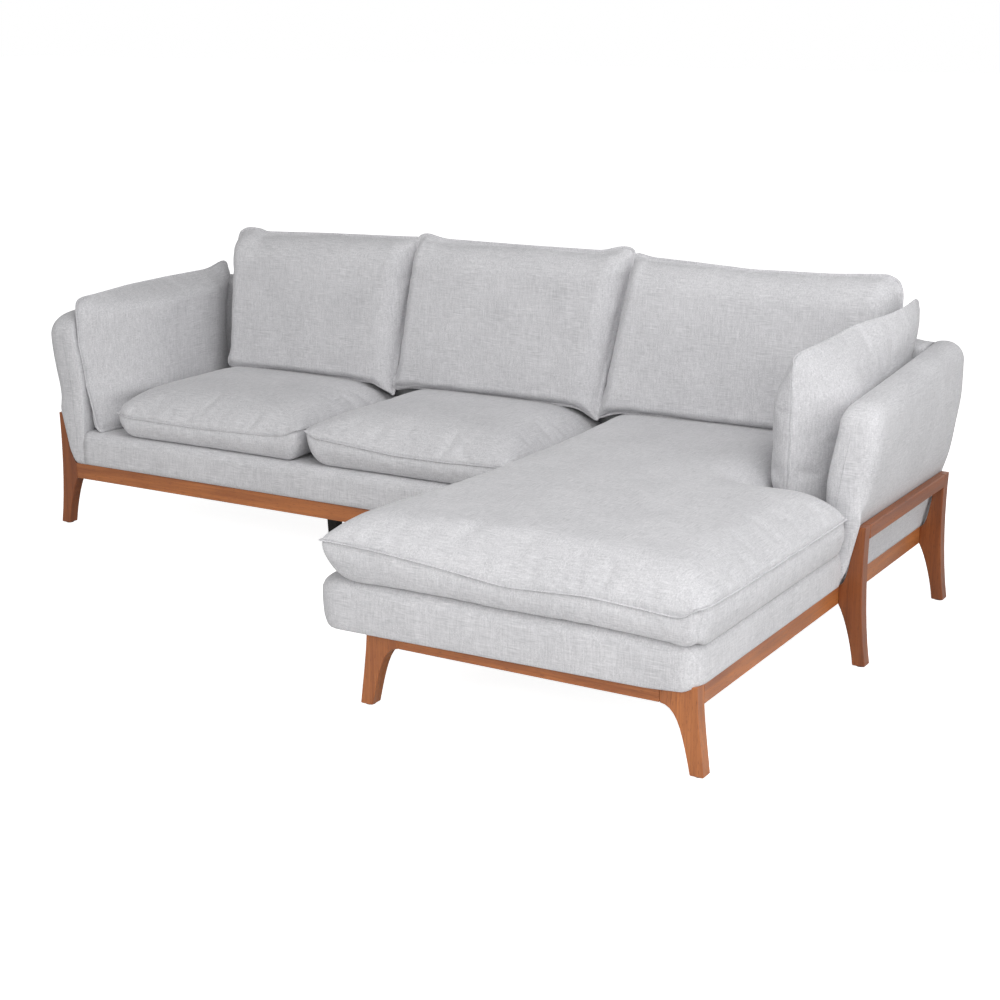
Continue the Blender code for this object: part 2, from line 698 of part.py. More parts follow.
fabric = material("light_grey_fabric", (0.60, 0.60, 0.60), 0.95)
wood = material("stained_wood", (0.26, 0.10, 0.04), 0.45)
dark_wood = material("black_wood", (0.02, 0.02, 0.02), 0.6)
timber = material("plain_timber", (0.55, 0.40, 0.24), 0.7)
cloth = material("dust_cloth", (0.03, 0.03, 0.03), 0.95)
felt = material("felt", (0.10, 0.10, 0.10), 0.95)
steel = material("zinc_steel", (0.60, 0.60, 0.62), 0.35, 1.0)

# Rails of the two-seat module
sofa_rails = {
    "front_rail_sofa": ((-SIDE_X, SOFA_FRONT_Y), (SPLIT_X - LIFT_GAP, SOFA_FRONT_Y + RAIL_THICKNESS)),
    "side_rail_left": ((-SIDE_X, SOFA_FRONT_Y + RAIL_THICKNESS + GAP),
                       (-SIDE_X + RAIL_THICKNESS, REAR_RAIL_Y)),
    "rear_rail_sofa": ((-SIDE_X + RAIL_THICKNESS + GAP, REAR_RAIL_Y - RAIL_THICKNESS),
                       (END_RAIL_X, REAR_RAIL_Y)),
    "end_rail_sofa": ((END_RAIL_X - RAIL_THICKNESS, SOFA_FRONT_Y + RAIL_THICKNESS + GAP),
                      (END_RAIL_X, REAR_RAIL_Y - RAIL_THICKNESS - GAP)),
    "joist_sofa": ((SOFA_MIDDLE_X - JOIST_WIDTH / 2, SOFA_FRONT_Y + RAIL_THICKNESS + GAP),
                   (SOFA_MIDDLE_X + JOIST_WIDTH / 2, REAR_RAIL_Y - RAIL_THICKNESS - GAP)),
}

# Rails of the chaise module
chaise_inner_y = CHAISE_FRONT_Y + LEG_THICKNESS + GAP
chaise_rails = {
    "front_rail_chaise": ((CHAISE_RAIL_X + CHAISE_LEG_HEAD + GAP, CHAISE_FRONT_Y),
                          (SIDE_X - CHAISE_LEG_HEAD - GAP, CHAISE_FRONT_Y + RAIL_THICKNESS)),
    "side_rail_right": ((SIDE_X - RAIL_THICKNESS, chaise_inner_y), (SIDE_X, REAR_RAIL_Y)),
    "side_rail_chaise": ((CHAISE_RAIL_X, chaise_inner_y),
                         (CHAISE_RAIL_X + RAIL_THICKNESS, REAR_RAIL_Y - RAIL_THICKNESS - GAP)),
    "rear_rail_chaise": ((CHAISE_RAIL_X, REAR_RAIL_Y - RAIL_THICKNESS),
                         (SIDE_X - RAIL_THICKNESS - GAP, REAR_RAIL_Y)),
    "joist_chaise": ((CHAISE_RAIL_X + RAIL_THICKNESS + GAP, SOFA_FRONT_Y - JOIST_WIDTH),
                     (SIDE_X - RAIL_THICKNESS - GAP, SOFA_FRONT_Y)),
}
for rails in (sofa_rails, chaise_rails):
    for rail_name, (near, far) in rails.items():
        rail = box(rail_name, (*near, RAIL_UNDERSIDE), (*far, RAIL_TOP), wood)
        bevel(rail, WOOD_EDGE)

# Legs, each with its glide
foot_middle = ARM_LEG_KICK - FOOT_WIDTH / 2
for depth_name, leg_y in (("front", SOFA_FRONT_Y), ("rear", REAR_LEG_Y)):
    for side_name, side in (("left", -1), ("right", 1)):
        arm_leg("leg_" + side_name + "_" + depth_name, side, leg_y, wood)
        glide("glide_" + side_name + "_" + depth_name, side * (SIDE_X + foot_middle),
              leg_y + LEG_THICKNESS / 2, felt)
for side_name, leg_x, outward in (("left", CHAISE_RAIL_X, -1), ("right", SIDE_X, 1)):
    chaise_leg("leg_chaise_" + side_name, leg_x, outward, wood)
    glide("glide_chaise_" + side_name,
          leg_x + outward * (CHAISE_LEG_KICK - FOOT_WIDTH / 2),
          CHAISE_FRONT_Y + LEG_THICKNESS / 2, felt)
end_middle = END_RAIL_X - RAIL_THICKNESS / 2
chaise_middle = CHAISE_RAIL_X + RAIL_THICKNESS / 2
support_places = {
    "middle": (SOFA_MIDDLE_X, SOFA_MIDDLE_Y),
    "end_front": (end_middle, SOFA_FRONT_Y + RAIL_THICKNESS + SUPPORT_TOP),
    "end_rear": (end_middle, REAR_RAIL_Y - RAIL_THICKNESS - SUPPORT_TOP),
    "chaise_rear": (chaise_middle, REAR_RAIL_Y - RAIL_THICKNESS - SUPPORT_TOP),
}
for place_name, (leg_x, leg_y) in support_places.items():
    support_leg("support_leg_" + place_name, leg_x, leg_y, dark_wood)
    glide("glide_support_" + place_name, leg_x, leg_y, felt)

# Arm rails between the posts
for side_name, side in (("left", -1), ("right", 1)):
    across_rail = sorted((side * (SIDE_X + POST_INNER), side * (SIDE_X + ARM_POST_REACH)))
    arm_rail = box("arm_rail_" + side_name,
                   (across_rail[0], SOFA_FRONT_Y + LEG_THICKNESS + GAP,
                    ARM_POST_HEIGHT - ARM_RAIL_HEIGHT),
                   (across_rail[1], REAR_LEG_Y - GAP, ARM_POST_HEIGHT), wood)
    bevel(arm_rail, WOOD_EDGE)

# Steel plates under the rails, from one module to the other
plate_top = RAIL_UNDERSIDE - GAP
plate_places = (("front", SOFA_FRONT_Y + PLATE_SETBACK),
                ("rear", REAR_RAIL_Y - PLATE_SETBACK - PLATE_WIDTH))
for place_name, plate_y in plate_places:
    box("joining_plate_" + place_name,
        (END_RAIL_X - RAIL_THICKNESS, plate_y, plate_top - PLATE_THICKNESS),
        (CHAISE_RAIL_X + RAIL_THICKNESS, plate_y + PLATE_WIDTH, plate_top), steel)

# Upholstered bases
base_front = SOFA_FRONT_Y - BASE_BULGE
base_rear = BACK_FACE_Y - GAP
arm_side = SIDE_X - ARM_FOOT - GAP
sofa_plan = [(-arm_side, base_front), (SPLIT_X - GAP, base_front), (SPLIT_X - GAP, base_rear),
             (-arm_side, base_rear)]
base("sofa", sofa_plan, (-arm_side + BASE_WALL, base_front + BASE_WALL),
     (SPLIT_X - GAP - BASE_WALL, base_rear - BASE_WALL), fabric, timber, cloth)
chaise_front = CHAISE_FRONT_Y - BASE_BULGE
chaise_left = SPLIT_X - BASE_LEFT_BULGE
chaise_right = SIDE_X + BASE_BULGE / 2
notch_y = base_front - GAP
chaise_plan = [(chaise_left, chaise_front), (chaise_right, chaise_front), (chaise_right, notch_y),
               (arm_side, notch_y), (arm_side, base_rear), (SPLIT_X + GAP, base_rear),
               (SPLIT_X + GAP, notch_y), (chaise_left, notch_y)]
base("chaise", chaise_plan, (SPLIT_X + GAP + BASE_WALL, chaise_front + BASE_WALL),
     (arm_side - BASE_WALL, base_rear - BASE_WALL), fabric, timber, cloth)

# Arms and backs
arm("left", -1, fabric, timber)
arm("right", 1, fabric, timber)
back("left", -1, SPLIT_X - GAP, fabric, timber)
back("right", 1, SPLIT_X + GAP, fabric, timber)

# Seat cushions and the chaise cushion
seat_front = SOFA_FRONT_Y - SEAT_OVERHANG
seat_rear = BACK_FACE_Y - LIFT_GAP
seat_cushion("seat_cushion_left",
             [(SEAT_LEFT_X, SEAT_SPLIT_X - SEAT_GAP / 2, seat_front, seat_rear)], fabric)
seat_cushion("seat_cushion_middle",
             [(SEAT_SPLIT_X + SEAT_GAP / 2, SEAT_RIGHT_X, seat_front, seat_rear)], fabric)
chaise_cushion_front = CHAISE_FRONT_Y - CUSHION_OVERHANG
wing_back = SOFA_FRONT_Y - BASE_BULGE - LIFT_GAP
seat_cushion("chaise_cushion",
             [(CHAISE_CUSHION_X, SIDE_X - CHAISE_ARM_SPACE, chaise_cushion_front, seat_rear),
              (CHAISE_CUSHION_X, SIDE_X + CHAISE_WING_OVERHANG, chaise_cushion_front, wing_back)],
             fabric, CHAISE_CUSHION_TAPER)

# Back cushions
back_left = -SIDE_X + BACK_CUSHION_INSET
back_room = SIDE_X - BACK_CUSHION_SPACE - back_left
third_share = 1.0 - FIRST_BACK_SHARE - SECOND_BACK_SHARE
for cushion_name, share, spread in (("back_cushion_left", FIRST_BACK_SHARE, 0.0),
                                    ("back_cushion_middle", SECOND_BACK_SHARE, 0.0),
                                    ("back_cushion_right", third_share, THIRD_BACK_SPREAD)):
    width = back_room * share
    back_cushion(cushion_name, back_left, back_left + width - SEAT_GAP, spread, fabric)
    back_left += width

# Arm cushions
left_room = ARM_CUSHION_SPACE - ARM_TOP_INSET - SEAT_GAP
right_room = CHAISE_ARM_SPACE - ARM_TOP_INSET - SEAT_GAP
arm_cushion("arm_cushion_left", -1,
            (LEFT_CUSHION_INSET, LEFT_CUSHION_LENGTH, LEFT_CUSHION_HEIGHT, LEFT_CUSHION_RISE,
             LEFT_CUSHION_SEAM, LEFT_CUSHION_TURN, LEFT_CUSHION_REACH), left_room, fabric)
arm_cushion("arm_cushion_right", 1,
            (RIGHT_CUSHION_INSET, RIGHT_CUSHION_LENGTH, RIGHT_CUSHION_HEIGHT, RIGHT_CUSHION_RISE,
             RIGHT_CUSHION_SEAM, RIGHT_CUSHION_TURN, RIGHT_CUSHION_REACH), right_room, fabric,
            (RIGHT_CUSHION_TAIL, RIGHT_TAIL_START, RIGHT_TAIL_LENGTH))
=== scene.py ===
# %% [markdown]
# # A corner sofa with a chaise, on a stained wooden frame
#
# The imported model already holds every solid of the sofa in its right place. This file dresses it:
# the wooden pieces keep their solids and get a stained finish, and every soft piece is made again
# as a surface that looks sewn and filled. Everything is in metres, with +X to the sofa's right
# arm, +Y to its back and +Z up.

import json
import math

import bmesh
import bpy
import numpy as np
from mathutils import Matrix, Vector


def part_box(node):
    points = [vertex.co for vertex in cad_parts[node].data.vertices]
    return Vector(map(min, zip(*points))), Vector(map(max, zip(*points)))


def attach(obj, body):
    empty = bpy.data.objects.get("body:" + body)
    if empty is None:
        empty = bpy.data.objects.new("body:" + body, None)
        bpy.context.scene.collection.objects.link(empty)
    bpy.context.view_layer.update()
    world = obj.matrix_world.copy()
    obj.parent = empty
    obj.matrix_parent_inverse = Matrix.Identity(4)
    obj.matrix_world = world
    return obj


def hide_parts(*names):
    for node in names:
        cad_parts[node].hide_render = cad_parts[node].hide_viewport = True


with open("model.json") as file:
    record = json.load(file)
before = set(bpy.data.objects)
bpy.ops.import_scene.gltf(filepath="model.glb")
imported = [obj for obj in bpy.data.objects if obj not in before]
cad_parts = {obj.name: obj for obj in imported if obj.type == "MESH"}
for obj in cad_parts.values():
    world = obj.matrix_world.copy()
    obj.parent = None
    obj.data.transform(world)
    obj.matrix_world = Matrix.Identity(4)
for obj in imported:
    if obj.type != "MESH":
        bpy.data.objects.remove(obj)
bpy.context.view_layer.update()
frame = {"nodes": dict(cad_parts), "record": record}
nodes = frame["nodes"]

# %% [markdown]
# ## Places that the covers have to meet
#
# A cover has to sit exactly on the wood and boards that carry it. Copying numbers by hand invites
# slips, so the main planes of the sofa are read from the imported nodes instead: the outer faces of
# the rails, the top of the deck, the front of each module and the face of the back.

# %% Read the main planes
side_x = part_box("side_rail_right")[1].x
rail_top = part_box("front_rail_sofa")[1].z
deck_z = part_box("base_sofa")[1].z
split_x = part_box("back_right")[0].x
chaise_front_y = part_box("front_rail_chaise")[0].y
sofa_front_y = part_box("front_rail_sofa")[0].y
back_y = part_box("back_left")[1].y
base_rear_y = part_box("base_sofa")[1].y
post_inner_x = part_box("arm_rail_right")[0].x - side_x
post_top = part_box("arm_rail_right")[1].z
print(f"sides at {side_x:.3f}, deck at {deck_z:.3f}, split at {split_x:.3f}, back at {back_y:.3f}")

# %% [markdown]
# ## The camera
#
# The picture was taken from about eye height, 1.6 m, to the right of the sofa's middle, with a
# fairly long lens and the camera tipped down. The sofa's uprights lead to a point right below the
# picture's middle, so the camera isn't rolled, and no lens shift is needed.

# %% Place the camera
camera_data = bpy.data.cameras.new("camera")
camera_data.sensor_fit = "HORIZONTAL"
camera_data.sensor_width = 36.0
camera_data.lens = 67.2
camera = bpy.data.objects.new("camera", camera_data)
camera.location = (2.781, -4.143, 1.600)
camera.rotation_euler = (math.radians(90.0 - 14.9), 0.0, math.radians(30.53))
bpy.context.scene.collection.objects.link(camera)
bpy.context.scene.camera = camera
print("camera at", tuple(round(c, 3) for c in camera.location))

# %% [markdown]
# ## Small tools for node materials
#
# Every finish below is a short chain of shader nodes. A helper that adds a node, sets its sockets
# and returns it keeps each chain readable from top to bottom.


# %% Node helpers
def add_node(tree, kind, inputs=None, **settings):
    """Add one shader node, set its properties, and set or link its input sockets."""
    node = tree.nodes.new(kind)
    for key, value in settings.items():
        setattr(node, key, value)
    for key, value in (inputs or {}).items():
        socket = node.inputs[key]
        if isinstance(value, bpy.types.NodeSocket):
            tree.links.new(value, socket)
        else:
            socket.default_value = value
    return node


def new_finish(name):
    """A material that holds a Principled shader, with its tree and that shader."""
    made = bpy.data.materials.new(name)
    made.use_nodes = True
    return made, made.node_tree, made.node_tree.nodes["Principled BSDF"]


def stretched_noise(tree, place, scale, detail=2.0, roughness=0.5):
    """Noise of a place that is first multiplied by a scale per axis, in cells per metre."""
    mapped = add_node(tree, "ShaderNodeMapping", {"Vector": place, "Scale": scale})
    noise = add_node(tree, "ShaderNodeTexNoise", {
        "Vector": mapped.outputs["Vector"], "Scale": 1.0, "Detail": detail,
        "Roughness": roughness})
    return noise.outputs["Fac"]


def mixed(tree, first, second, share=0.5):
    """A blend of two values."""
    node = add_node(tree, "ShaderNodeMix", {"Factor": share, "A": first, "B": second})
    return node.outputs["Result"]


def ramp(tree, value, stops):
    """A colour ramp through (position, colour) stops."""
    node = add_node(tree, "ShaderNodeValToRGB", {"Fac": value})
    band = node.color_ramp
    while len(band.elements) < len(stops):
        band.elements.new(0.5)
    for element, (position, colour) in zip(band.elements, stops):
        element.position = position
        element.color = (*colour, 1.0)
    return node.outputs["Color"]


# %% [markdown]
# ## The light grey cover cloth
#
# The cover is a plain weave of slubby yarn: thick and thin places run along both directions of the
# cloth, so close up it shows short pale and grey dashes that cross. Noise that is stretched along
# one axis gives such dashes. Six of them are blended, a fine and a coarse one along each axis of
# the sofa, so that every face shows two directions of yarn without any unwrapping. In a slow
# patchwork one direction stands out more than the other, as it does in the real cloth. Finer
# noises raise the threads in the bump, and a soft sheen stands for the loose fibre ends.

# %% Make the cloth
# each noise: cells per metre across the yarn, cells per metre along it, and detail
fine_yarn, coarse_yarn, thread_relief = (460.0, 46.0, 2.0), (270.0, 26.0, 2.0), (1150.0, 260.0, 1.0)
patch_cells, broad_cells = 21.0, 7.0
upright_share, broad_share = 0.36, 0.10


def cover_cloth(name, dark, light):
    """Slubby plain weave: a blend of noises of two sizes, each drawn out along one axis."""
    made, tree, shader = new_finish(name)
    place = add_node(tree, "ShaderNodeTexCoord").outputs["Object"]

    def three_ways(across_scale, along_scale, detail):
        """Noise drawn out along x, y and z, blended by a slow patchwork."""
        drawn = []
        for axis in range(3):
            scale = [across_scale] * 3
            scale[axis] = along_scale
            drawn.append(stretched_noise(tree, place, scale, detail, 0.6))
        patch = ramp(tree, stretched_noise(tree, place, (patch_cells,) * 3, 2.0),
                     [(0.38, (0.15, 0.15, 0.15)), (0.62, (0.85, 0.85, 0.85))])
        return mixed(tree, mixed(tree, drawn[0], drawn[1], patch), drawn[2], upright_share)

    fine = three_ways(*fine_yarn)
    coarse = three_ways(*coarse_yarn)
    broad = stretched_noise(tree, place, (broad_cells,) * 3, 3.0)
    grey = mixed(tree, mixed(tree, fine, coarse, 0.5), broad, broad_share)
    colour = ramp(tree, grey, [(0.405, dark), (0.60, light)])
    height = mixed(tree, three_ways(*thread_relief), fine, 0.5)
    bump = add_node(tree, "ShaderNodeBump", {"Height": height, "Strength": 0.6,
                                             "Distance": 0.0012})
    tree.links.new(colour, shader.inputs["Base Color"])
    tree.links.new(bump.outputs["Normal"], shader.inputs["Normal"])
    shader.inputs["Roughness"].default_value = 0.92
    shader.inputs["Specular IOR Level"].default_value = 0.25
    shader.inputs["Sheen Weight"].default_value = 0.18
    shader.inputs["Sheen Roughness"].default_value = 0.45
    return made


cloth = cover_cloth("light_grey_cloth", (0.445, 0.445, 0.46), (0.675, 0.67, 0.685))
# The seam cloth is a darker copy of the cover cloth: painted shade for the groove along the arm's
# sewn seam.
seam_shade_cloth = cover_cloth("seam_shade_cloth", (0.37, 0.37, 0.385), (0.60, 0.595, 0.61))
print("cloths:", cloth.name, seam_shade_cloth.name)

# %% [markdown]
# ## The stained wood
#
# Rails and legs are a solid hardwood with an orange-brown stain under a satin lacquer. The grain
# runs along each piece, so there is one version of the finish for each direction: broad darker
# bands, finer streaks inside them, and short dark pores. The stain sits a little unevenly, which
# a slow noise gives. The lacquer is a thin coat that makes the highlights crisper than the wood.
# The legs and rails beside the arms get a darker copy of the stain as painted shade, for the faces
# that turn away from the main lamp, and the boards inside the upholstery are left plain.

# %% Make the wood
# each noise: cells per metre across the grain, cells per metre along it, and detail
wood_bands, wood_streaks, wood_pores = (34.0, 1.6, 3.0), (240.0, 5.0, 3.0), (900.0, 45.0, 2.0)
stain_cells = 5.0


def stained_wood(name, axis, dark, light, pore):
    """Grain as noise drawn out along one axis: bands, streaks in them, and pores."""
    made, tree, shader = new_finish(name)
    place = add_node(tree, "ShaderNodeTexCoord").outputs["Object"]

    def along(across_scale, along_scale, detail):
        """Noise drawn out along the grain."""
        scale = [across_scale] * 3
        scale[axis] = along_scale
        return stretched_noise(tree, place, scale, detail, 0.6)

    bands, streaks, pores = along(*wood_bands), along(*wood_streaks), along(*wood_pores)
    uneven = stretched_noise(tree, place, (stain_cells,) * 3, 2.0)
    grain = mixed(tree, mixed(tree, bands, streaks, 0.4), uneven, 0.2)
    colour = ramp(tree, grain, [(0.36, dark), (0.64, light)])
    pits = ramp(tree, pores, [(0.30, (1.0, 1.0, 1.0)), (0.40, (0.0, 0.0, 0.0))])
    toned = tree.nodes.new("ShaderNodeMix")
    toned.data_type = "RGBA"
    tree.links.new(pits, toned.inputs[0])
    tree.links.new(colour, toned.inputs[6])
    toned.inputs[7].default_value = (*pore, 1.0)
    tree.links.new(toned.outputs[2], shader.inputs["Base Color"])
    satin = ramp(tree, streaks, [(0.3, (0.36, 0.36, 0.36)), (0.7, (0.50, 0.50, 0.50))])
    tree.links.new(satin, shader.inputs["Roughness"])
    bump = add_node(tree, "ShaderNodeBump", {"Height": mixed(tree, streaks, pores, 0.5),
                                             "Strength": 0.25, "Distance": 0.0006})
    tree.links.new(bump.outputs["Normal"], shader.inputs["Normal"])
    shader.inputs["Coat Weight"].default_value = 0.15
    shader.inputs["Coat Roughness"].default_value = 0.30
    return made


wood = [stained_wood("stained_wood_" + letter, axis, (0.25, 0.072, 0.018), (0.50, 0.172, 0.046),
                     (0.13, 0.038, 0.011))
        for axis, letter in enumerate("xyz")]
# A darker copy of the stain: painted shade for the legs and arm rails, whose faces turn away from
# the main lamp.
shade_painted_wood = [stained_wood("shade_painted_stain_" + letter, axis, (0.155, 0.039, 0.009),
                          (0.315, 0.092, 0.022), (0.085, 0.022, 0.006))
             for axis, letter in enumerate("xyz")]
timber = [stained_wood("plain_timber_" + letter, axis, (0.50, 0.36, 0.21), (0.66, 0.51, 0.33),
                       (0.36, 0.24, 0.13))
          for axis, letter in enumerate("xyz")]
print("woods:", [finish.name for finish in wood + shade_painted_wood + timber])

# %% [markdown]
# ## The small hidden finishes
#
# The support legs are painted black, the pads under the legs are dense felt, the plates between
# the modules are zinc-plated steel, and a thin black cloth closes each base from below. All of
# them show only from low down, but each still has its own surface.


# %% Make the small finishes
def speckled(name, dark, light, scale, roughness, metallic=0.0, bump_distance=0.0002):
    """One even colour with fine speckle, for paint, felt, plating and dust cloth."""
    made, tree, shader = new_finish(name)
    place = add_node(tree, "ShaderNodeTexCoord").outputs["Object"]
    speck = stretched_noise(tree, place, (scale, scale, scale), 4.0, 0.7)
    tree.links.new(ramp(tree, speck, [(0.35, dark), (0.65, light)]), shader.inputs["Base Color"])
    bump = add_node(tree, "ShaderNodeBump", {"Height": speck, "Strength": 0.5,
                                             "Distance": bump_distance})
    tree.links.new(bump.outputs["Normal"], shader.inputs["Normal"])
    shader.inputs["Roughness"].default_value = roughness
    shader.inputs["Metallic"].default_value = metallic
    return made


black_paint = speckled("black_paint", (0.012, 0.011, 0.010), (0.030, 0.028, 0.026), 260.0, 0.42)
felt = speckled("felt", (0.05, 0.05, 0.05), (0.14, 0.14, 0.14), 1500.0, 1.0, 0.0, 0.0006)
zinc = speckled("zinc_steel", (0.46, 0.47, 0.50), (0.66, 0.67, 0.70), 120.0, 0.36, 1.0)
dust_cloth = speckled("dust_cloth", (0.016, 0.016, 0.017), (0.042, 0.042, 0.044), 700.0, 0.95)

# %% [markdown]
# ## Who wears what
#
# The rigid pieces keep the solids that they were packed with, because straight rails and sawn legs
# need no softer form. Each gets its finish by its name, and a wooden one gets the version whose
# grain runs along it: X for the rails in front and behind, Y for those at the sides, Z for legs.

# %% Dress the nodes that keep their solids
finishes = {
    "front_rail_sofa": wood[0], "rear_rail_sofa": wood[0], "front_rail_chaise": wood[0],
    "rear_rail_chaise": wood[0], "joist_chaise": wood[0],
    "side_rail_left": wood[1], "side_rail_right": wood[1], "side_rail_chaise": wood[1],
    "end_rail_sofa": wood[1], "joist_sofa": wood[1],
    # The arm rails wear the darker copy of the stain, which is painted shade.
    "arm_rail_left": shade_painted_wood[1], "arm_rail_right": shade_painted_wood[1],
    "seat_frame_sofa": timber[0], "seat_frame_chaise": timber[1],
    "back_frame_left": timber[0], "back_frame_right": timber[0],
    "arm_frame_left": timber[1], "arm_frame_right": timber[1],
}
# by the start of the name, where a later line wins over an earlier one
# The legs at the left and right wear the darker copy of the stain, which is painted shade.
starts = {"leg_": wood[2], "leg_right": shade_painted_wood[2], "leg_left": shade_painted_wood[2],
          "support_leg_": black_paint, "glide_": felt, "joining_plate_": zinc,
          "dust_cover_": dust_cloth}
for node_name, node in nodes.items():
    finish = finishes.get(node_name)
    for start, usual in starts.items():
        if node_name.startswith(start):
            finish = usual
    if finish:
        node.material_slots[0].material = finish
print("dressed", sum(1 for n in nodes.values() if n.material_slots[0].material in
                     list(finishes.values()) + list(starts.values())), "nodes")

# %% [markdown]
# ## Surfaces from whole arrays
#
# Every soft piece below is a grid of places in two directions, worked out as one array and handed
# to Blender in one go. The same few helpers serve them all: the quads of a grid, a mesh from
# points and quads, and a soft rise from 0 to 1. Doubled points are merged at the end, so poles
# and closed tops have no hidden slits, and the faces are turned outwards.


# %% Mesh helpers
def grid_quads(rows, columns, wrap=False):
    """Quads between neighbouring places of a grid; wrap joins the last column to the first."""
    row = np.arange(rows - 1)[:, None]
    column = np.arange(columns if wrap else columns - 1)[None, :]
    after = (column + 1) % columns
    here = row * columns
    corners = (here + column, here + after, here + columns + after, here + columns + column)
    return np.stack(np.broadcast_arrays(*corners), axis=-1).reshape(-1, 4)


def make_piece(name, points, faces, finish):
    """A smooth mesh object from an array of points and a list of faces, closed and outward."""
    mesh = bpy.data.meshes.new(name)
    mesh.from_pydata(np.asarray(points, float).reshape(-1, 3).tolist(), [], faces)
    shape = bmesh.new()
    shape.from_mesh(mesh)
    bmesh.ops.remove_doubles(shape, verts=shape.verts, dist=0.00002)
    bmesh.ops.recalc_face_normals(shape, faces=shape.faces)
    if shape.calc_volume(signed=True) < 0:
        bmesh.ops.reverse_faces(shape, faces=shape.faces)
    shape.to_mesh(mesh)
    shape.free()
    mesh.shade_smooth()
    mesh.materials.append(finish)
    piece = bpy.data.objects.new(name, mesh)
    bpy.context.scene.collection.objects.link(piece)
    return piece


def quarter(distance, radius):
    """Rise from 0 at an edge to 1 a radius further in, along a quarter of an ellipse."""
    share = np.clip(np.asarray(distance, float) / radius, 0.0, 1.0)
    return np.sqrt(1.0 - (1.0 - share) ** 2)


def soft_step(value, low, high):
    """Rise from 0 at low to 1 at high with level ends."""
    share = np.clip((np.asarray(value, float) - low) / (high - low), 0.0, 1.0)
    return share * share * (3.0 - 2.0 * share)


def subdivide(piece, levels=1):
    """Finish a piece with a Subdivision Surface, the same in the view and in the render."""
    smooth = piece.modifiers.new("subdivision", "SUBSURF")
    smooth.levels = levels
    smooth.render_levels = levels
    return piece


# %% [markdown]
# ## A sewn edge
#
# The cushions are sewn with a narrow flat lip: both layers of cloth are turned in and stitched
# again a few millimetres from the edge. From a distance it reads as a thin pale line with a
# shadow under it. It is a small flat profile, carried along the closed line of the seam.


# %% Carry a profile along a closed or open line
def carried_lip(name, line, outward, across, finish, depth=0.006, proud=0.0035, half=0.0019,
                closed=True):
    """A flat rounded lip: at each place of the line, a flattened ring in the plane of outward
    and across, from a depth inside the line to a little proud of it."""
    angles = np.linspace(0.0, 2.0 * np.pi, 10, endpoint=False)
    line, outward, across = (np.asarray(part, float) for part in (line, outward, across))
    proud = np.broadcast_to(proud, len(line))[:, None]
    reach = (proud - depth) / 2 + (proud + depth) / 2 * np.cos(angles)
    rise = half * np.sin(angles)
    rings = (line[:, None, :] + outward[:, None, :] * reach[:, :, None]
             + across[:, None, :] * rise[None, :, None])
    count = len(line)
    faces = grid_quads(count, len(angles), wrap=True).tolist()
    if closed:
        last = (count - 1) * len(angles)
        ring = np.arange(len(angles))
        after = (ring + 1) % len(angles)
        faces += np.stack([last + ring, last + after, after, ring], axis=-1).tolist()
    else:
        faces += [list(range(len(angles))), list(range((count - 1) * len(angles),
                                                        count * len(angles)))]
    return make_piece(name, rings, faces, finish)


def directions(line, across, centre):
    """Unit directions that point out of a closed line, square to it and to the across axis."""
    tangent = np.roll(line, -2, axis=0) - np.roll(line, 2, axis=0)
    out = np.cross(tangent, across)
    out /= np.maximum(np.linalg.norm(out, axis=1, keepdims=True), 1e-9)
    away = np.sum(out * (line - centre), axis=1, keepdims=True)
    return out * np.where(np.sum(away) < 0, -1.0, 1.0)


# %% [markdown]
# ## Upholstered arms
#
# An arm is a padded board that leans outwards over the wooden arm rail. Seen from above at any
# height it is a long ring: a straight inner face, a rounded front, a straight outer face and a
# rounded rear. So the cover is a stack of such rings. Low down, the outer face follows the inside
# of the wooden posts, and a narrow lip of cloth laps over the front of the post. Near the top the
# rings get narrower along a quarter of an ellipse, until they close on the crest.

# %% Sizes of the arms
clear = 0.0004  # what a cover keeps from the solid that it stands on
arm_foot, arm_inner_lean = 0.045, 0.030  # the inner face at its foot, and how far it leans out
arm_lean_start, arm_lean_end = 0.440, 0.660
arm_bulge, arm_bulge_height = 0.088, 0.600  # the outer face where it is widest
arm_front_crest, arm_rear_crest = 0.668, 0.728
arm_front_radius, arm_rear_radius = 0.062, 0.050  # radii of the crest
arm_front_sweep, arm_rear_sweep = 0.070, 0.045  # how far the crest is drawn in at its ends
arm_end_power, arm_crest_power = 0.72, 0.80
post_lap, post_lap_end = 0.010, 0.42
front_tuck, front_tuck_height = 0.010, 0.022
arm_seam_top, seam_column = 0.605, 10
cover_front_y = sofa_front_y - 0.011


def arm_inner(z):
    """How far the inner face lies inside the side rail's outer face."""
    return arm_foot - arm_inner_lean * soft_step(z, arm_lean_start, arm_lean_end)


def arm_outer(z):
    """How far the outer face lies outside the side rail's outer face."""
    neck = post_inner_x - 0.002
    low = neck * np.clip((z - rail_top) / (post_top - rail_top), 0.0, 1.0)
    share = np.clip((z - post_top) / (arm_bulge_height - post_top), 0.0, 1.0)
    return low + (arm_bulge - neck) * (1.0 - (1.0 - share) ** 1.6)


def front_draw(z):
    """How far the front face is drawn back just above the rail, as on the two-seat base."""
    return front_tuck * (1.0 - quarter(z - rail_top, front_tuck_height))


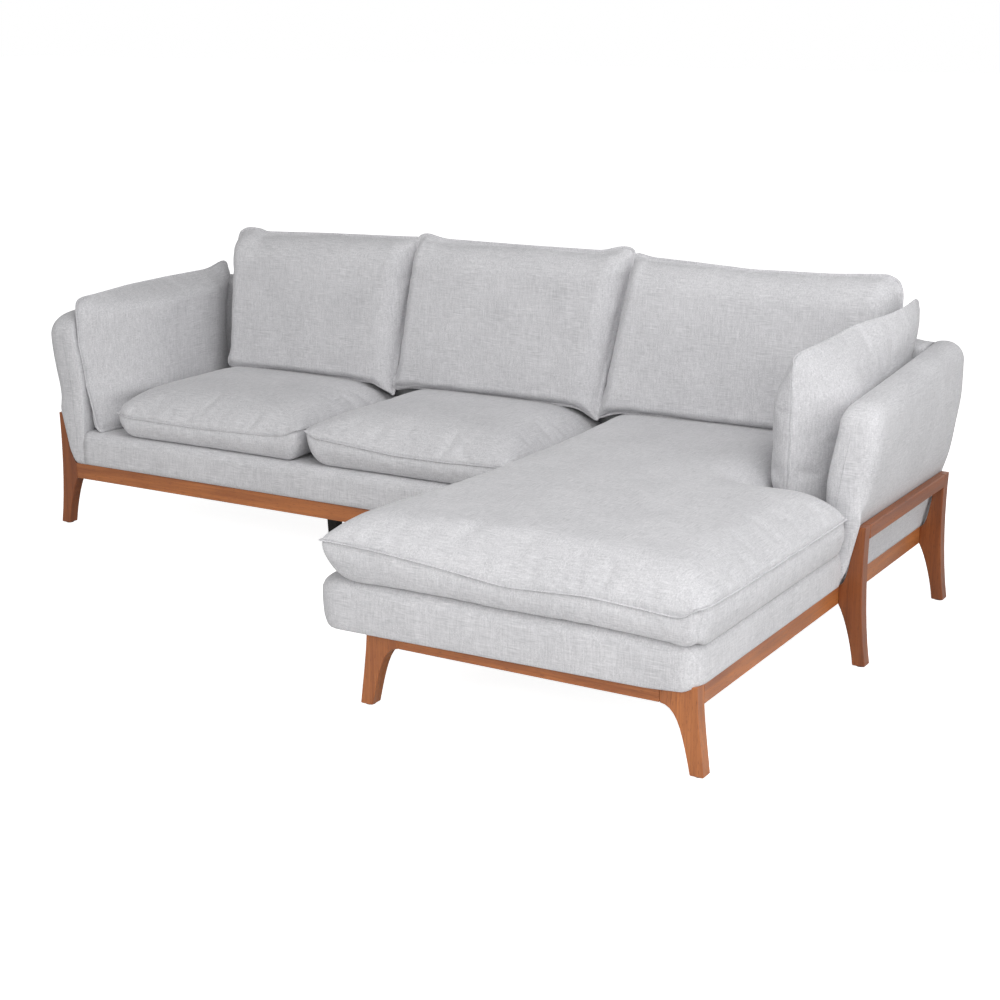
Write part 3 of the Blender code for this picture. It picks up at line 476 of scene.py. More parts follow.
# %% Shape an arm
def arm_cover(name, side, finish):
    """Rings from the rail up to the crest. y runs along the ring, z is the bottom plus a share
    of the way to the crest, which rises to the rear, and the offset from the side rail follows
    from z: the inner or outer face along the sides, and middle plus half times cos^power of an
    angle round each end. Over the crest, half shrinks with cos^power of a second angle."""
    low_levels = np.concatenate([np.linspace(0.0, 0.10, 6), np.linspace(0.13, 1.0, 26)])
    crown = np.linspace(0.0, np.pi / 2, 13)[1:]
    rise = np.concatenate([low_levels, np.ones(len(crown))])
    turn = np.concatenate([np.zeros(len(low_levels)), crown])
    front_steps, side_steps, rear_steps = 24, 60, 18
    bottom = rail_top + clear
    # places round the ring: which part (front, outer side, rear, inner side), and how far along it
    phi = np.concatenate([np.linspace(0, np.pi, front_steps), np.zeros(side_steps),
                          np.linspace(np.pi, 0, rear_steps), np.zeros(side_steps)])
    part = np.concatenate([np.full(front_steps, 0), np.full(side_steps, 1),
                           np.full(rear_steps, 2), np.full(side_steps, 3)])
    run = np.concatenate([np.zeros(front_steps), np.linspace(0, 1, side_steps + 2)[1:-1],
                          np.zeros(rear_steps), np.linspace(1, 0, side_steps + 2)[1:-1]])
    level, place = np.meshgrid(np.arange(len(rise)), np.arange(len(phi)), indexing="ij")
    phi, part, run = phi[place], part[place], run[place]
    rise, turn = rise[level], turn[level]
    front_z = bottom + (arm_front_crest - arm_front_radius - bottom) * rise
    front = cover_front_y + front_draw(front_z) + arm_front_sweep * (1.0 - np.cos(turn))
    rear = back_y - arm_rear_sweep * (1.0 - np.cos(turn))
    # how deep the rounded ends are: sharp where they meet the base and the post, fuller above
    depth_in = 0.0004 + 0.0156 * soft_step(front_z, deck_z - 0.030, deck_z + 0.09)
    depth_out = 0.0105 + 0.034 * soft_step(front_z, post_top + 0.004, post_top + 0.10)
    rear_in = 0.010
    rear_out = 0.006 + 0.044 * soft_step(front_z, post_top, post_top + 0.12)
    inner_half = np.cos(phi) >= 0
    depth = np.where(inner_half, depth_in, depth_out)
    depth_rear = np.where(inner_half, rear_in, rear_out)
    side_in = part == 3
    y_low = front + np.where(side_in, depth_in, depth_out)
    y_high = rear - np.where(side_in, rear_in, rear_out)
    y = np.select([part == 0, part == 2],
                  [front + depth * (1 - np.sin(phi)), rear - depth_rear * (1 - np.sin(phi))],
                  y_low + (y_high - y_low) * run)
    slope = np.clip((y - sofa_front_y) / (back_y - sofa_front_y), 0.0, 1.0)
    crest = arm_front_crest + (arm_rear_crest - arm_front_crest) * slope
    radius = arm_front_radius - (arm_front_radius - arm_rear_radius) * slope
    shoulder = crest - radius
    z = bottom + (shoulder - bottom) * rise + radius * np.sin(turn)
    flat_z = np.minimum(z, shoulder)
    inner, outer = arm_inner(flat_z), -arm_outer(flat_z)
    # the lip in front of the post
    lap = (post_lap * soft_step(z, rail_top, rail_top + 0.05)
           * (1 - soft_step(z, post_top, post_lap_end)))
    lip_end = sofa_front_y - 0.0015
    outer = outer - lap * (1.0 - soft_step(y, lip_end - 0.0005, lip_end + 0.003)) * (part <= 1)
    middle, half = (inner + outer) / 2, (inner - outer) / 2 * np.cos(turn) ** arm_crest_power
    cosine = np.sign(np.cos(phi)) * np.abs(np.cos(phi)) ** arm_end_power
    offset = np.select([part == 0, part == 1, part == 2],
                       [middle + half * cosine, middle - half, middle + half * cosine],
                       middle + half)
    points = np.stack([side * (side_x - offset), y, z], axis=-1)
    rows, columns = points.shape[:2]
    faces = grid_quads(rows, columns, wrap=True).tolist()
    faces.append(list(range(columns)))
    seam = points[(z[:, seam_column] < arm_seam_top) & (level[:, 0] > 0), seam_column]
    return make_piece(name, points, faces, finish), seam


# %% Make the arms
for side_name, side in (("left", -1), ("right", 1)):
    cover, seam = arm_cover("arm_cover_" + side_name, side, cloth)
    outward = np.tile((0.0, -1.0, 0.0), (len(seam), 1))
    across = np.tile((1.0, 0.0, 0.0), (len(seam), 1))
    # The arm's seam lip wears the darker seam cloth, as painted shade in the seam's groove.
    seam_lip = carried_lip(cover.name + "_seam", seam, outward, across, seam_shade_cloth, depth=0.003,
                           proud=0.0012, half=0.0011, closed=False)
    seam_lip.parent = cover
    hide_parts("arm_" + side_name)
    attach(cover, "frame")
    print(cover.name, len(cover.data.polygons), "faces")

# %% [markdown]
# ## Upholstered bases
#
# Each base is a box spring with padding over its edges: flat on the rails and on its deck, and
# round in front. The outline in plan has square corners where it meets an arm, a back or the
# other module, and a wide curve at the free corners of the chaise. The cover is a stack of these
# outlines, each drawn in by a share of its own on every edge, so that the free edges are round
# and the hidden ones stay tight.


# %% Tools for the bases
def plan_outline(corners, radii, weights, inset, edge_steps, corner_steps):
    """A plan outline drawn in by inset times each edge's weight, with its corners rounded.

    corners runs anticlockwise and every edge lies along X or Y; edge k leaves corner k.
    """
    corners = np.asarray(corners, float)
    ahead = np.roll(corners, -1, axis=0) - corners
    ahead /= np.linalg.norm(ahead, axis=1, keepdims=True)
    normal = np.stack([ahead[:, 1], -ahead[:, 0]], axis=-1)
    before = np.roll(normal, 1, axis=0)
    weights = np.asarray(weights, float)[:, None]
    moved = corners - inset * (weights * normal + np.roll(weights, 1, axis=0) * before)
    arcs = []
    for k, radius in enumerate(radii):
        least = min(weights[k, 0], weights[k - 1, 0])
        left = max(radius - inset * least, 0.0)
        centre = moved[k] - left * (before[k] + normal[k])
        angle = np.linspace(0.0, np.pi / 2, corner_steps)[:, None]
        arcs.append(centre + left * (before[k] * np.cos(angle) + normal[k] * np.sin(angle)))
    ring = []
    for k, arc in enumerate(arcs):
        following = arcs[(k + 1) % len(arcs)][0]
        share = np.linspace(0.0, 1.0, edge_steps[k] + 2)[1:-1, None]
        ring += [arc, arc[-1] + (following - arc[-1]) * share]
    return np.concatenate(ring)


def base_cover(name, corners, radii, weights, edge_steps, profile, drop, finish):
    """A stack of plan outlines; profile lists (inset, height, share of the drop) from the bottom
    to the deck, and drop gives how far the lower edge hangs down at each place of the plan."""
    rings = []
    for inset, z, share in profile:
        plan = plan_outline(corners, radii, weights, inset, edge_steps, 9)
        rings.append(np.column_stack([plan, z - share * drop(plan[:, 0], plan[:, 1])]))
    rows, columns = len(rings), len(rings[0])
    faces = grid_quads(rows, columns, wrap=True).tolist()
    faces += [list(range(columns)), list(range((rows - 1) * columns, rows * columns))]
    return make_piece(name, np.stack(rings), faces, finish)


def upper_edge(round_edge, steps=10):
    """A round upper edge as (inset, height, 0) rows: a quarter of an ellipse below the deck."""
    angle = np.linspace(0.0, np.pi / 2, steps)
    return np.column_stack([round_edge[0] * (1 - np.cos(angle)),
                            deck_z - round_edge[1] * (1 - np.sin(angle)), 0 * angle])


def no_drop(x, y):
    """The two-seat base ends on its rail all round."""
    return 0.0 * x


def front_drop(x, y):
    """The chaise cover hangs over its front rail, most at the left, and rises round the right
    front corner to the side rail."""
    depth = np.interp(x, (0.30, 0.49, 1.14, 1.23, 1.262), (0.024, 0.023, 0.0175, 0.012, 0.001))
    return depth * (1.0 - soft_step(y, chaise_front + 0.006, chaise_front + 0.045))


# %% Make the two-seat base
base_low = rail_top + clear
arm_side = side_x - arm_foot - 0.0003
sofa_edge, chaise_edge = (0.030, 0.036), (0.036, 0.046)  # inset and height of the upper edges
left_share = 2.3  # the chaise's left edge is rounder than the others by this factor
low_angle = np.linspace(0.0, np.pi / 2, 9)
sofa_low = np.column_stack([front_tuck * (1 - np.sin(low_angle)),
                            base_low + front_tuck_height * (1 - np.cos(low_angle)),
                            0 * low_angle])
sofa_corners = [(-arm_side - 0.002, cover_front_y), (split_x - 0.001, cover_front_y),
                (split_x - 0.001, base_rear_y), (-arm_side - 0.002, base_rear_y)]
sofa_base = base_cover("base_cover_sofa", sofa_corners, (0.0, 0.012, 0.0, 0.0),
                       (1.0, 0.15, 0.0, 0.0), (70, 20, 30, 20),
                       np.concatenate([sofa_low, upper_edge(sofa_edge)]), no_drop, cloth)

# %% Make the chaise base
chaise_left = split_x - 0.009
chaise_front = chaise_front_y - 0.013
chaise_right = side_x + 0.008
notch = cover_front_y - 0.0006
# rows of inset, height over the rail and share of the drop, up the rolled lower edge
chaise_low = np.array([(0.0098, 0.0, 0.0), (0.0098, 0.0, 1.0), (0.0080, 0.0, 1.10),
                       (0.0055, 0.0, 1.13), (0.0035, 0.0008, 1.10), (0.0022, 0.004, 1.0),
                       (0.0010, 0.012, 0.80), (0.0003, 0.024, 0.50), (0.0, 0.038, 0.15),
                       (0.0, 0.050, 0.0)]) + (0.0, base_low, 0.0)
chaise_corners = [(chaise_left, chaise_front), (chaise_right, chaise_front), (chaise_right, notch),
                  (arm_side, notch), (arm_side, base_rear_y), (split_x + 0.001, base_rear_y),
                  (split_x + 0.001, notch), (chaise_left, notch)]
chaise_base = base_cover("base_cover_chaise", chaise_corners,
                         (0.072, 0.050, 0.004, 0.0, 0.0, 0.0, 0.0, 0.0),
                         (1.0, 1.0, 0.2, 0.0, 0.0, 0.15, 0.2, left_share),
                         (50, 45, 2, 20, 20, 20, 2, 45),
                         np.concatenate([chaise_low, upper_edge(chaise_edge)]), front_drop, cloth)
for cover, node_name in ((sofa_base, "base_sofa"), (chaise_base, "base_chaise")):
    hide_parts(node_name)
    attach(cover, "frame")
    print(cover.name, len(cover.data.polygons), "faces")

# %% [markdown]
# ## Upholstered backs
#
# The back is a padded frame that leans back by three degrees in front and stands plumb behind.
# Its cover is a cross-section, up the front, over a round top and down the rear, carried along
# from the arm to the middle of the sofa. Next to the arm its top sinks under the arm's crest. At
# the free end it is drawn in a little, so that the two modules show a soft line where they meet,
# and a sewn lip runs along the top of the rear panel.

# %% Sizes of the backs
back_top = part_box("back_left")[1].z
back_rake = math.tan(math.radians(3.0))
back_foot_y = base_rear_y + 0.0003
crown_radius, crown_power = 0.034, 0.75
crown_sink, sink_reach = 0.014, 0.130  # how far the top sinks beside the arm, and over what length
end_round, end_draw = 0.014, 0.007  # length of the rounded free end, and how far it is drawn in
crest_follow, crest_follow_share = 0.050, 0.95


def back_face(z):
    """Where the front face of the back lies at a height."""
    return back_foot_y + back_rake * (np.asarray(z, float) - rail_top)


def arm_rear_face(z):
    """Where the arm's inner face lies at its rear, followed over the arm's round crest."""
    share = np.clip((z - arm_rear_crest + crest_follow) / crest_follow, 0.0, 1.0)
    flat_z = np.minimum(z, arm_rear_crest - crest_follow)
    inner, outer = arm_inner(flat_z), -arm_outer(flat_z)
    turned = np.sqrt(1.0 - (crest_follow_share * share) ** 2)
    return (inner + outer) / 2 + (inner - outer) / 2 * turned


# %% Shape a back
def back_cover(name, outer_side, split, finish):
    """One section across the back, carried along X as whole arrays. Over the crown, y goes with
    cos^power and z with sin^power of an angle from 0 to 180 degrees. At each place along the
    back the section is lowered beside the arm and drawn in towards its middle at the free end."""
    crown = back_top - crown_radius
    front_z = np.linspace(rail_top + clear, crown, 26)
    angle = np.linspace(0.0, np.pi, 17)[1:-1]
    middle, half = (back_face(crown) + back_y) / 2, (back_y - back_face(crown)) / 2
    crown_y = middle - half * np.sign(np.cos(angle)) * np.abs(np.cos(angle)) ** crown_power
    y = np.concatenate([back_face(front_z), crown_y, np.full(len(front_z), back_y)])
    z = np.concatenate([front_z, crown + crown_radius * np.sin(angle) ** crown_power,
                        front_z[::-1]])
    ends = np.array([0.0, 0.002, 0.005, 0.009, end_round])
    length = abs(split - outer_side * side_x)
    even = np.linspace(0.0, length - 0.02, 40)
    along = np.concatenate([even, length - end_round + ends])[:, None]
    turned = np.sqrt(1 - (ends / end_round) ** 2 * 0.999)
    inset = np.concatenate([0 * even, end_draw * (1 - turned)])[:, None]
    upper = np.clip((z - crown) / crown_radius, 0, 1)
    sunk = crown_sink * (1.0 - soft_step(along, 0.0, sink_reach))
    low_y = y + np.sign(middle - y) * np.minimum(np.abs(middle - y), inset)
    low_z = z - (inset + sunk) * upper
    start_x = outer_side * (side_x - arm_rear_face(low_z) - clear)
    x = start_x + (split - start_x) * along / length
    points = np.stack([x, low_y, low_z], axis=-1)
    rows, count = points.shape[:2]
    faces = grid_quads(rows, count, wrap=True).tolist()
    faces += [list(range(count)), list(range((rows - 1) * count, rows * count))]
    rear_edge = len(front_z) + len(crown_y)
    return make_piece(name, points, faces, finish), points[1:-1, rear_edge]


# %% Make the backs
for side_name, outer_side, split in (("left", -1, split_x - 0.0015), ("right", 1, split_x + 0.0015)):
    cover, seam = back_cover("back_cover_" + side_name, outer_side, split, cloth)
    outward = np.tile((0.0, 1.0, 0.0), (len(seam), 1))
    across = np.tile((0.0, 0.0, 1.0), (len(seam), 1))
    seam_lip = carried_lip(cover.name + "_lip", seam, outward, across, cloth, depth=0.004,
                           proud=0.003, half=0.0018, closed=False)
    seam_lip.parent = cover
    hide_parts("back_" + side_name)
    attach(cover, "frame")
    print(cover.name, len(cover.data.polygons), "faces")

# %% [markdown]
# ## Loose cushions
#
# A loose cushion is two panels of cloth sewn together round their edge and filled. It is made in
# three steps. First comes its form on one grid: a seam line, and two panels that rise from it
# along a quarter of an ellipse, or at a slant. Then Blender's Cloth fills it with a little
# pressure while the
# seam and the parts that lie on something are held, which gives the uneven swell of a real
# filling. How far a point may move is capped, so the cushion keeps its size. Last come small
# puckers along the seam, the shallow groove of the stitching and the sewn lip in it, which would
# be too fine for the cloth.

# %% Grid of a cushion
cushion_z = deck_z + clear
seam_z = cushion_z + 0.062
print(f"cushions stand at {cushion_z:.4f}, their seams at about {seam_z:.4f}")


def even_stations(low, high, roll, step):
    """Places from edge to edge that end up evenly spaced on the curve: equal turns of the
    quarter ellipse in each roll, and equal steps between the rolls."""
    turns = max(int(round(1.45 * roll / step)), 4)
    angle = np.linspace(0.0, np.pi / 2, turns + 1)
    edge = roll * (1.0 - np.cos(angle))
    flat = max(int(round((high - low - 2 * roll) / step)), 1)
    between = np.linspace(low + roll, high - roll, flat + 1)[1:-1]
    return np.concatenate([low + edge, between, high - edge[::-1]])


def round_corners(x, y, corners):
    """Round the corners of a plan: inside a square of side R at each corner, the square is
    mapped to a quarter disc, p to p sqrt(1 - q^2 / 2) and q to q sqrt(1 - p^2 / 2).

    A corner is (x, y, sign in x, sign in y, R), and the signs point out of the plan.
    """
    x, y = np.array(x, float), np.array(y, float)
    for corner_x, corner_y, sign_x, sign_y, radius in corners:
        p = np.clip(sign_x * (x - corner_x) / radius + 1.0, 0.0, 1.0)
        q = np.clip(sign_y * (y - corner_y) / radius + 1.0, 0.0, 1.0)
        x -= sign_x * radius * p * (1.0 - np.sqrt(1.0 - q * q / 2))
        y -= sign_y * radius * q * (1.0 - np.sqrt(1.0 - p * p / 2))
    return x, y


def walk(corners):
    """The grid places along straight runs between index corners, once round."""
    path = []
    for (i, j), (k, m) in zip(corners, corners[1:] + corners[:1]):
        count = max(abs(k - i), abs(m - j))
        path += [(i + (k - i) * n // count, j + (m - j) * n // count) for n in range(count)]
    return np.array(path)


def sewn_panels(name, panels, finish, used=None, corners=None):
    """Two panels on one grid with a common border: the object, the index of each grid place in
    both panels, and the border as a line of grid places."""
    rows, columns = panels[0].shape[:2]
    cells = np.ones((rows - 1, columns - 1), bool) if used is None else used
    around = np.zeros((rows, columns), int)
    for i in (0, 1):
        for j in (0, 1):
            around[i:rows - 1 + i, j:columns - 1 + j] += cells
    present, inside = around > 0, around == 4
    first = np.full((rows, columns), -1)
    first[present] = np.arange(present.sum())
    second = first.copy()
    second[inside] = present.sum() + np.arange(inside.sum())
    points = np.concatenate([panels[0][present], panels[1][inside]])
    faces = []
    for index, turned in ((first, False), (second, True)):
        quads = np.stack([index[:-1, :-1], index[1:, :-1], index[1:, 1:], index[:-1, 1:]], -1)
        quads = quads[cells]
        faces += (quads[:, ::-1] if turned else quads).tolist()
    mesh = bpy.data.meshes.new(name)
    mesh.from_pydata(points.tolist(), [], faces)
    mesh.update()
    mesh.shade_smooth()
    mesh.materials.append(finish)
    piece = bpy.data.objects.new(name, mesh)
    bpy.context.scene.collection.objects.link(piece)
    border = walk(corners or [(0, 0), (rows - 1, 0), (rows - 1, columns - 1), (0, columns - 1)])
    return piece, first, second, border


def read_points(mesh):
    """All vertex places of a mesh as one array."""
    flat = np.empty(len(mesh.vertices) * 3, np.float32)
    mesh.vertices.foreach_get("co", flat)
    return flat.reshape(-1, 3).astype(float)


def write_points(mesh, points):
    """Put an array of places back into a mesh."""
    mesh.vertices.foreach_set("co", np.asarray(points, np.float32).ravel())
    mesh.update()


# %% Fill a cushion with Blender's Cloth
def fill(piece, held, cap, keep_in, pressure=4.0, ease=-0.012, frames=20):
    """Swell a cushion: run Cloth with pressure and no gravity while the held points stay, then
    keep each point's way within a cap (cap times the hyperbolic tangent of way over cap) and
    every point inside its room, which keep_in gives."""
    mesh = piece.data
    before = read_points(mesh)
    group = piece.vertex_groups.new(name="held")
    group.add(np.flatnonzero(held).tolist(), 1.0, "REPLACE")
    modifier = piece.modifiers.new("filling", "CLOTH")
    settings = modifier.settings
    settings.quality = 5
    settings.mass = 0.3
    settings.tension_stiffness = settings.compression_stiffness = 18.0
    settings.shear_stiffness = 6.0
    settings.bending_stiffness = 0.6
    settings.use_pressure = True
    settings.uniform_pressure_force = pressure
    settings.shrink_min = ease
    settings.vertex_group_mass = "held"
    settings.effector_weights.gravity = 0.0
    modifier.point_cache.frame_start = 1
    modifier.point_cache.frame_end = frames
    for step in range(1, frames + 1):
        bpy.context.scene.frame_set(step)
    ready = piece.evaluated_get(bpy.context.evaluated_depsgraph_get())
    after = read_points(ready.data)
    piece.modifiers.remove(modifier)
    piece.vertex_groups.remove(group)
    bpy.context.scene.frame_set(1)
    way = after - before
    length = np.maximum(np.linalg.norm(way, axis=1, keepdims=True), 1e-9)
    before = before + way / length * cap * np.tanh(length / cap)
    print(f"{piece.name}: swelled {length.max() * 1000:.0f} mm, capped at {cap * 1000:.0f}")
    write_points(mesh, keep_in(before))
    return piece


# %% Puckers and the sewn lip
wave_lengths = (0.031, 0.047, 0.073, 0.128)
wave_fade, fold_fade = 0.020, 0.05


def pucker(piece, index, edge_run, edge_distance, depth, seed, folds=()):
    """Draw the cloth in along the seam: waves of uneven length that fade within 40 mm of it, and
    deeper folds that fan out from the corners that folds lists, as (distances, angles, depth)."""
    mesh = piece.data
    points = read_points(mesh)
    normals = np.empty(len(mesh.vertices) * 3, np.float32)
    mesh.vertices.foreach_get("normal", normals)
    normals = normals.reshape(-1, 3)
    rng = np.random.default_rng(seed)
    waves = np.zeros_like(edge_run)
    for length in wave_lengths:
        waves += np.sin(edge_run * 2 * np.pi / length + rng.uniform(0, 2 * np.pi)
                        + 1.6 * np.sin(edge_run * 2 * np.pi / (length * 4.7)
                                       + rng.uniform(0, 6)))
    fade = np.exp(-edge_distance / wave_fade) * soft_step(edge_distance, 0.0, 0.010)
    shift = depth * waves * fade
    for distance, angle, fold_depth in folds:
        ray = np.sin(7.0 * angle + rng.uniform(0, 6)) + 0.6 * np.sin(12.0 * angle
                                                                       + rng.uniform(0, 6))
        near = np.exp(-(distance / fold_fade) ** 2) * soft_step(distance, 0, 0.02)
        shift += fold_depth * ray * near
    used = index >= 0
    push = np.zeros(len(points))
    push[index[used]] = shift[used]
    write_points(mesh, points + normals * push[:, None])


def sew_edge(piece, index, border, across, name, ears=0.003, proud=0.0030, half=0.0015,
             groove=0.0068):
    """Draw the seam in by the depth of its groove, and carry the sewn lip along it, a little
    further out at the corners."""
    points = read_points(piece.data)
    places = index[border[:, 0], border[:, 1]]
    line = points[places]
    step = border - np.roll(border, 1, axis=0)
    turn = np.any(step != np.roll(step, -1, axis=0), axis=1)
    smooth = line.copy()
    for _ in range(3):
        smooth = 0.5 * smooth + 0.25 * (np.roll(smooth, 1, axis=0) + np.roll(smooth, -1, axis=0))
    out = directions(smooth, np.asarray(across, float), smooth.mean(axis=0))
    points[places] = smooth - groove * out
    write_points(piece.data, points)
    near = np.zeros(len(line))
    along = np.cumsum(np.linalg.norm(line - np.roll(line, 1, axis=0), axis=1))
    for place in along[turn]:
        distance = np.abs(along - place)
        distance = np.minimum(distance, along[-1] - distance)
        near += np.exp(-(distance / 0.012) ** 2)
    reach = proud + ears * np.minimum(near, 1.0)
    across_all = np.tile(np.asarray(across, float), (len(line), 1))
    lip = carried_lip(name, smooth - groove * 0.5 * out, out, across_all, cloth,
                      proud=reach, half=half)
    lip.parent = piece
    return lip


def seam_places(u, v, u_low, u_high, v_low, v_high):
    """Run along the border and distance from it for every place of a rectangle."""
    sides = np.stack([u - u_low, u_high - u, v - v_low, v_high - v])
    nearest = np.argmin(sides, axis=0)
    distance = np.min(sides, axis=0)
    run = np.choose(nearest, [v, v + 1.3, u + 2.9, u + 4.1])
    return run, np.maximum(distance, 0.0)


def finish_cushion(piece, node):
    """Subdivide a cushion, hide the solid that it stands for, and attach it to what it rides on."""
    subdivide(piece)
    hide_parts(node)
    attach(piece, node_body[node])
    print(piece.name, len(piece.data.polygons), "faces")


node_body = {member: body for body, members in frame["record"]["behaviour"]["bodies"].items()
             for member in members}

# %% [markdown]
# ## Seat cushions
#
# The two seat cushions and the long chaise cushion share one form. In plan it is a rectangle with
# round corners whose sides are drawn in between them; the chaise cushion is an L, because it runs
# out in front of the right arm. The upper panel is crowned. The lower panel lies flat on the deck
# and sags over the base's round edge in front, and the seam above it waves up and down a little.
# Where the two seats meet in front, their seams rise and their corners crowd each other.

# %% Sizes and tools of the seat cushions
rear_roll = 0.070
seat_rise, seat_crown = 0.142, 0.008  # height of the top over the deck, and its crown
seam_lift, front_reach = 0.010, 0.28  # the seam behind, and how far the front's own line reaches
side_waist, front_waist = 0.008, 0.006  # how far the sides are drawn in
sag_share, swell = 0.75, 0.014
seat_roll, seat_step = 0.145, 0.0115


def fullness(x, y, areas, rolls):
    """From 0 at the seam to 1 inside, the fullest of one or two areas. rolls gives each area's
    radii at its left, right, front and rear edge."""
    parts = [quarter(x - area[0], roll[0]) * quarter(area[1] - x, roll[1])
             * quarter(y - area[2], roll[2]) * quarter(area[3] - y, roll[3])
             for area, roll in zip(areas, rolls)]
    return np.maximum.reduce(parts)


def edge_sag(distance, round_edge):
    """How far a base's round upper edge lies below its deck at a distance inside its outline."""
    inset, height = round_edge
    return height * (1.0 - quarter(distance, inset))


def seat_grid(areas, roll, step):
    """Stations in x and in y for one plan box, or for an L of two boxes with a station on its
    inner corner; then which cells belong to the L, and the index corners of its border."""
    left, right = areas[0][0], max(area[1] for area in areas)
    front, rear = areas[0][2], areas[0][3]
    narrow, wing_rear = areas[0][1], areas[-1][3]
    across = even_stations(left, narrow, roll, step)
    if len(areas) == 1:
        return across, even_stations(front, rear, roll, step), None, None
    wing = even_stations(narrow - roll, right, roll, step)
    across = np.concatenate([across[across < narrow - roll - step / 2],
                             np.linspace(narrow - roll, narrow, 13)[:-1],
                             np.linspace(narrow, right - roll, 11)[:-1],
                             wing[wing > right - roll - 1e-6]])
    ahead = even_stations(front, wing_rear, roll, step)
    behind = even_stations(wing_rear - roll, rear, roll, step)
    along = np.concatenate([ahead, behind[behind > wing_rear + step / 3]])
    middle_x, middle_y = (across[1:] + across[:-1]) / 2, (along[1:] + along[:-1]) / 2
    used = (middle_x[:, None] < narrow) | (middle_y[None, :] < wing_rear)
    i, last_i = int(np.argmin(np.abs(across - narrow))), len(across) - 1
    j, last_j = int(np.argmin(np.abs(along - wing_rear))), len(along) - 1
    return across, along, used, [(0, 0), (last_i, 0), (last_i, j), (i, j), (i, last_j), (0, last_j)]


# %% Shape and fill a seat cushion
def seat_piece(name, node, areas, seed, under, round_plan, front_seam, sag, step=seat_step,
               roll=seat_roll, taper=0.0):
    """Upper panel: seam plus (crown level less seam) times fullness; lower panel: seam less its
    height over the deck and the base's edge times fullness.

    areas are one or two plan boxes as x and y limits, roll is the radius of the upper edges and
    under those of the lower ones, round_plan lists the round corners in plan, front_seam gives
    the seam's height along the front, and sag how far the base's edge lies below the deck.
    """
    left, right = areas[0][0], max(area[1] for area in areas)
    front, rear = areas[0][2], areas[0][3]
    narrow, wing_rear = areas[0][1], areas[-1][3]
    across, along, used, corners = seat_grid(areas, roll, step)
    x, y = np.meshgrid(across, along, indexing="ij")
    near_front = 1.0 - soft_step(y, front, front + front_reach)
    high_seam = seam_z + seam_lift
    seam = high_seam + (np.interp(x, *front_seam) - high_seam) * near_front
    dome = (np.sin(np.pi * np.clip((x - left) / (right - left), 0, 1))
            * np.sin(np.pi * np.clip((y - front) / (rear - front), 0, 1)))
    level = cushion_z + seat_rise + seat_crown * dome
    upper_full = fullness(x, y, areas, [(roll, roll, roll, rear_roll)]
                          + [(roll,) * 4] * (len(areas) - 1))
    lower_full = fullness(x, y, areas, [under] * len(areas))
    reach = np.clip((y - front) / (wing_rear - front), 0.0, 1.0)
    lean = taper * reach * (right - x) / (right - left)
    waist_y = 4 * (y - front) * (rear - y) / (rear - front) ** 2
    waist_x = 4 * (x - left) * (right - x) / (right - left) ** 2
    draw_x = side_waist * waist_y * (1 - 2 * (x - left) / (narrow - left)) * (x <= narrow)
    draw_y = front_waist * waist_x * np.clip(1 - (y - front) / (rear - front), 0, 1)
    round_x, round_y = round_corners(x, y, round_plan)
    plan_x, plan_y = round_x + lean + draw_x, round_y + draw_y
    floor_z = cushion_z - sag_share * sag(plan_x, plan_y)
    upper = np.stack([plan_x, plan_y, seam + (level - seam) * upper_full], -1)
    lower = np.stack([plan_x, plan_y, seam - (seam - floor_z) * lower_full], -1)
    piece, top, bottom, border = sewn_panels(name, (upper, lower), cloth, used, corners)
    held = np.zeros(len(piece.data.vertices), bool)
    held[top[border[:, 0], border[:, 1]]] = True
    flat = (lower_full > 0.6) & (bottom >= 0)
    held[bottom[flat]] = True

    def keep_in(points):
        """Inside its room: over the deck and the base's edge, and short of its neighbours."""
        points = np.maximum(points, (left - 0.004, front - 0.012, 0.0))
        points = np.minimum(points, (right + taper + 0.006, rear + 0.003, 1.0))
        low = cushion_z - sag(points[:, 0], points[:, 1])
        points[:, 2] = np.maximum(points[:, 2], low)
        return points

    fill(piece, held, swell, keep_in)
    run, distance = seam_places(x, y, left, right, front, rear)
    if len(areas) > 1:
        inner = np.minimum(np.where(y > wing_rear, narrow - x, 9.0),
                           np.where(x > narrow, wing_rear - y, 9.0))
        distance = np.minimum(distance, np.abs(inner))
    pucker(piece, top, run, distance, 0.0009, seed)
    pucker(piece, bottom, run + 0.4, distance, 0.0006, seed + 50)
    lip = sew_edge(piece, top, border, (0, 0, 1), name + "_lip", ears=0.008)
    finish_cushion(piece, node)
    return piece


def area_of(node):
    """A node's box in plan, as x and y limits."""
    low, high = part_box(node)
    return low.x, high.x, low.y, high.y


def sofa_sag(x, y):
    """Sag over the front edge of the two-seat base."""
    return edge_sag(y - cover_front_y, sofa_edge)


def chaise_sag(x, y):
    """Sag over the three free edges of the chaise base, behind which the arms and backs stand."""
    sides = np.minimum((x - chaise_left) / left_share, chaise_right - x)
    free = np.minimum(y - chaise_front, np.where(y < notch, sides, 9.0))
    return edge_sag(free, chaise_edge)


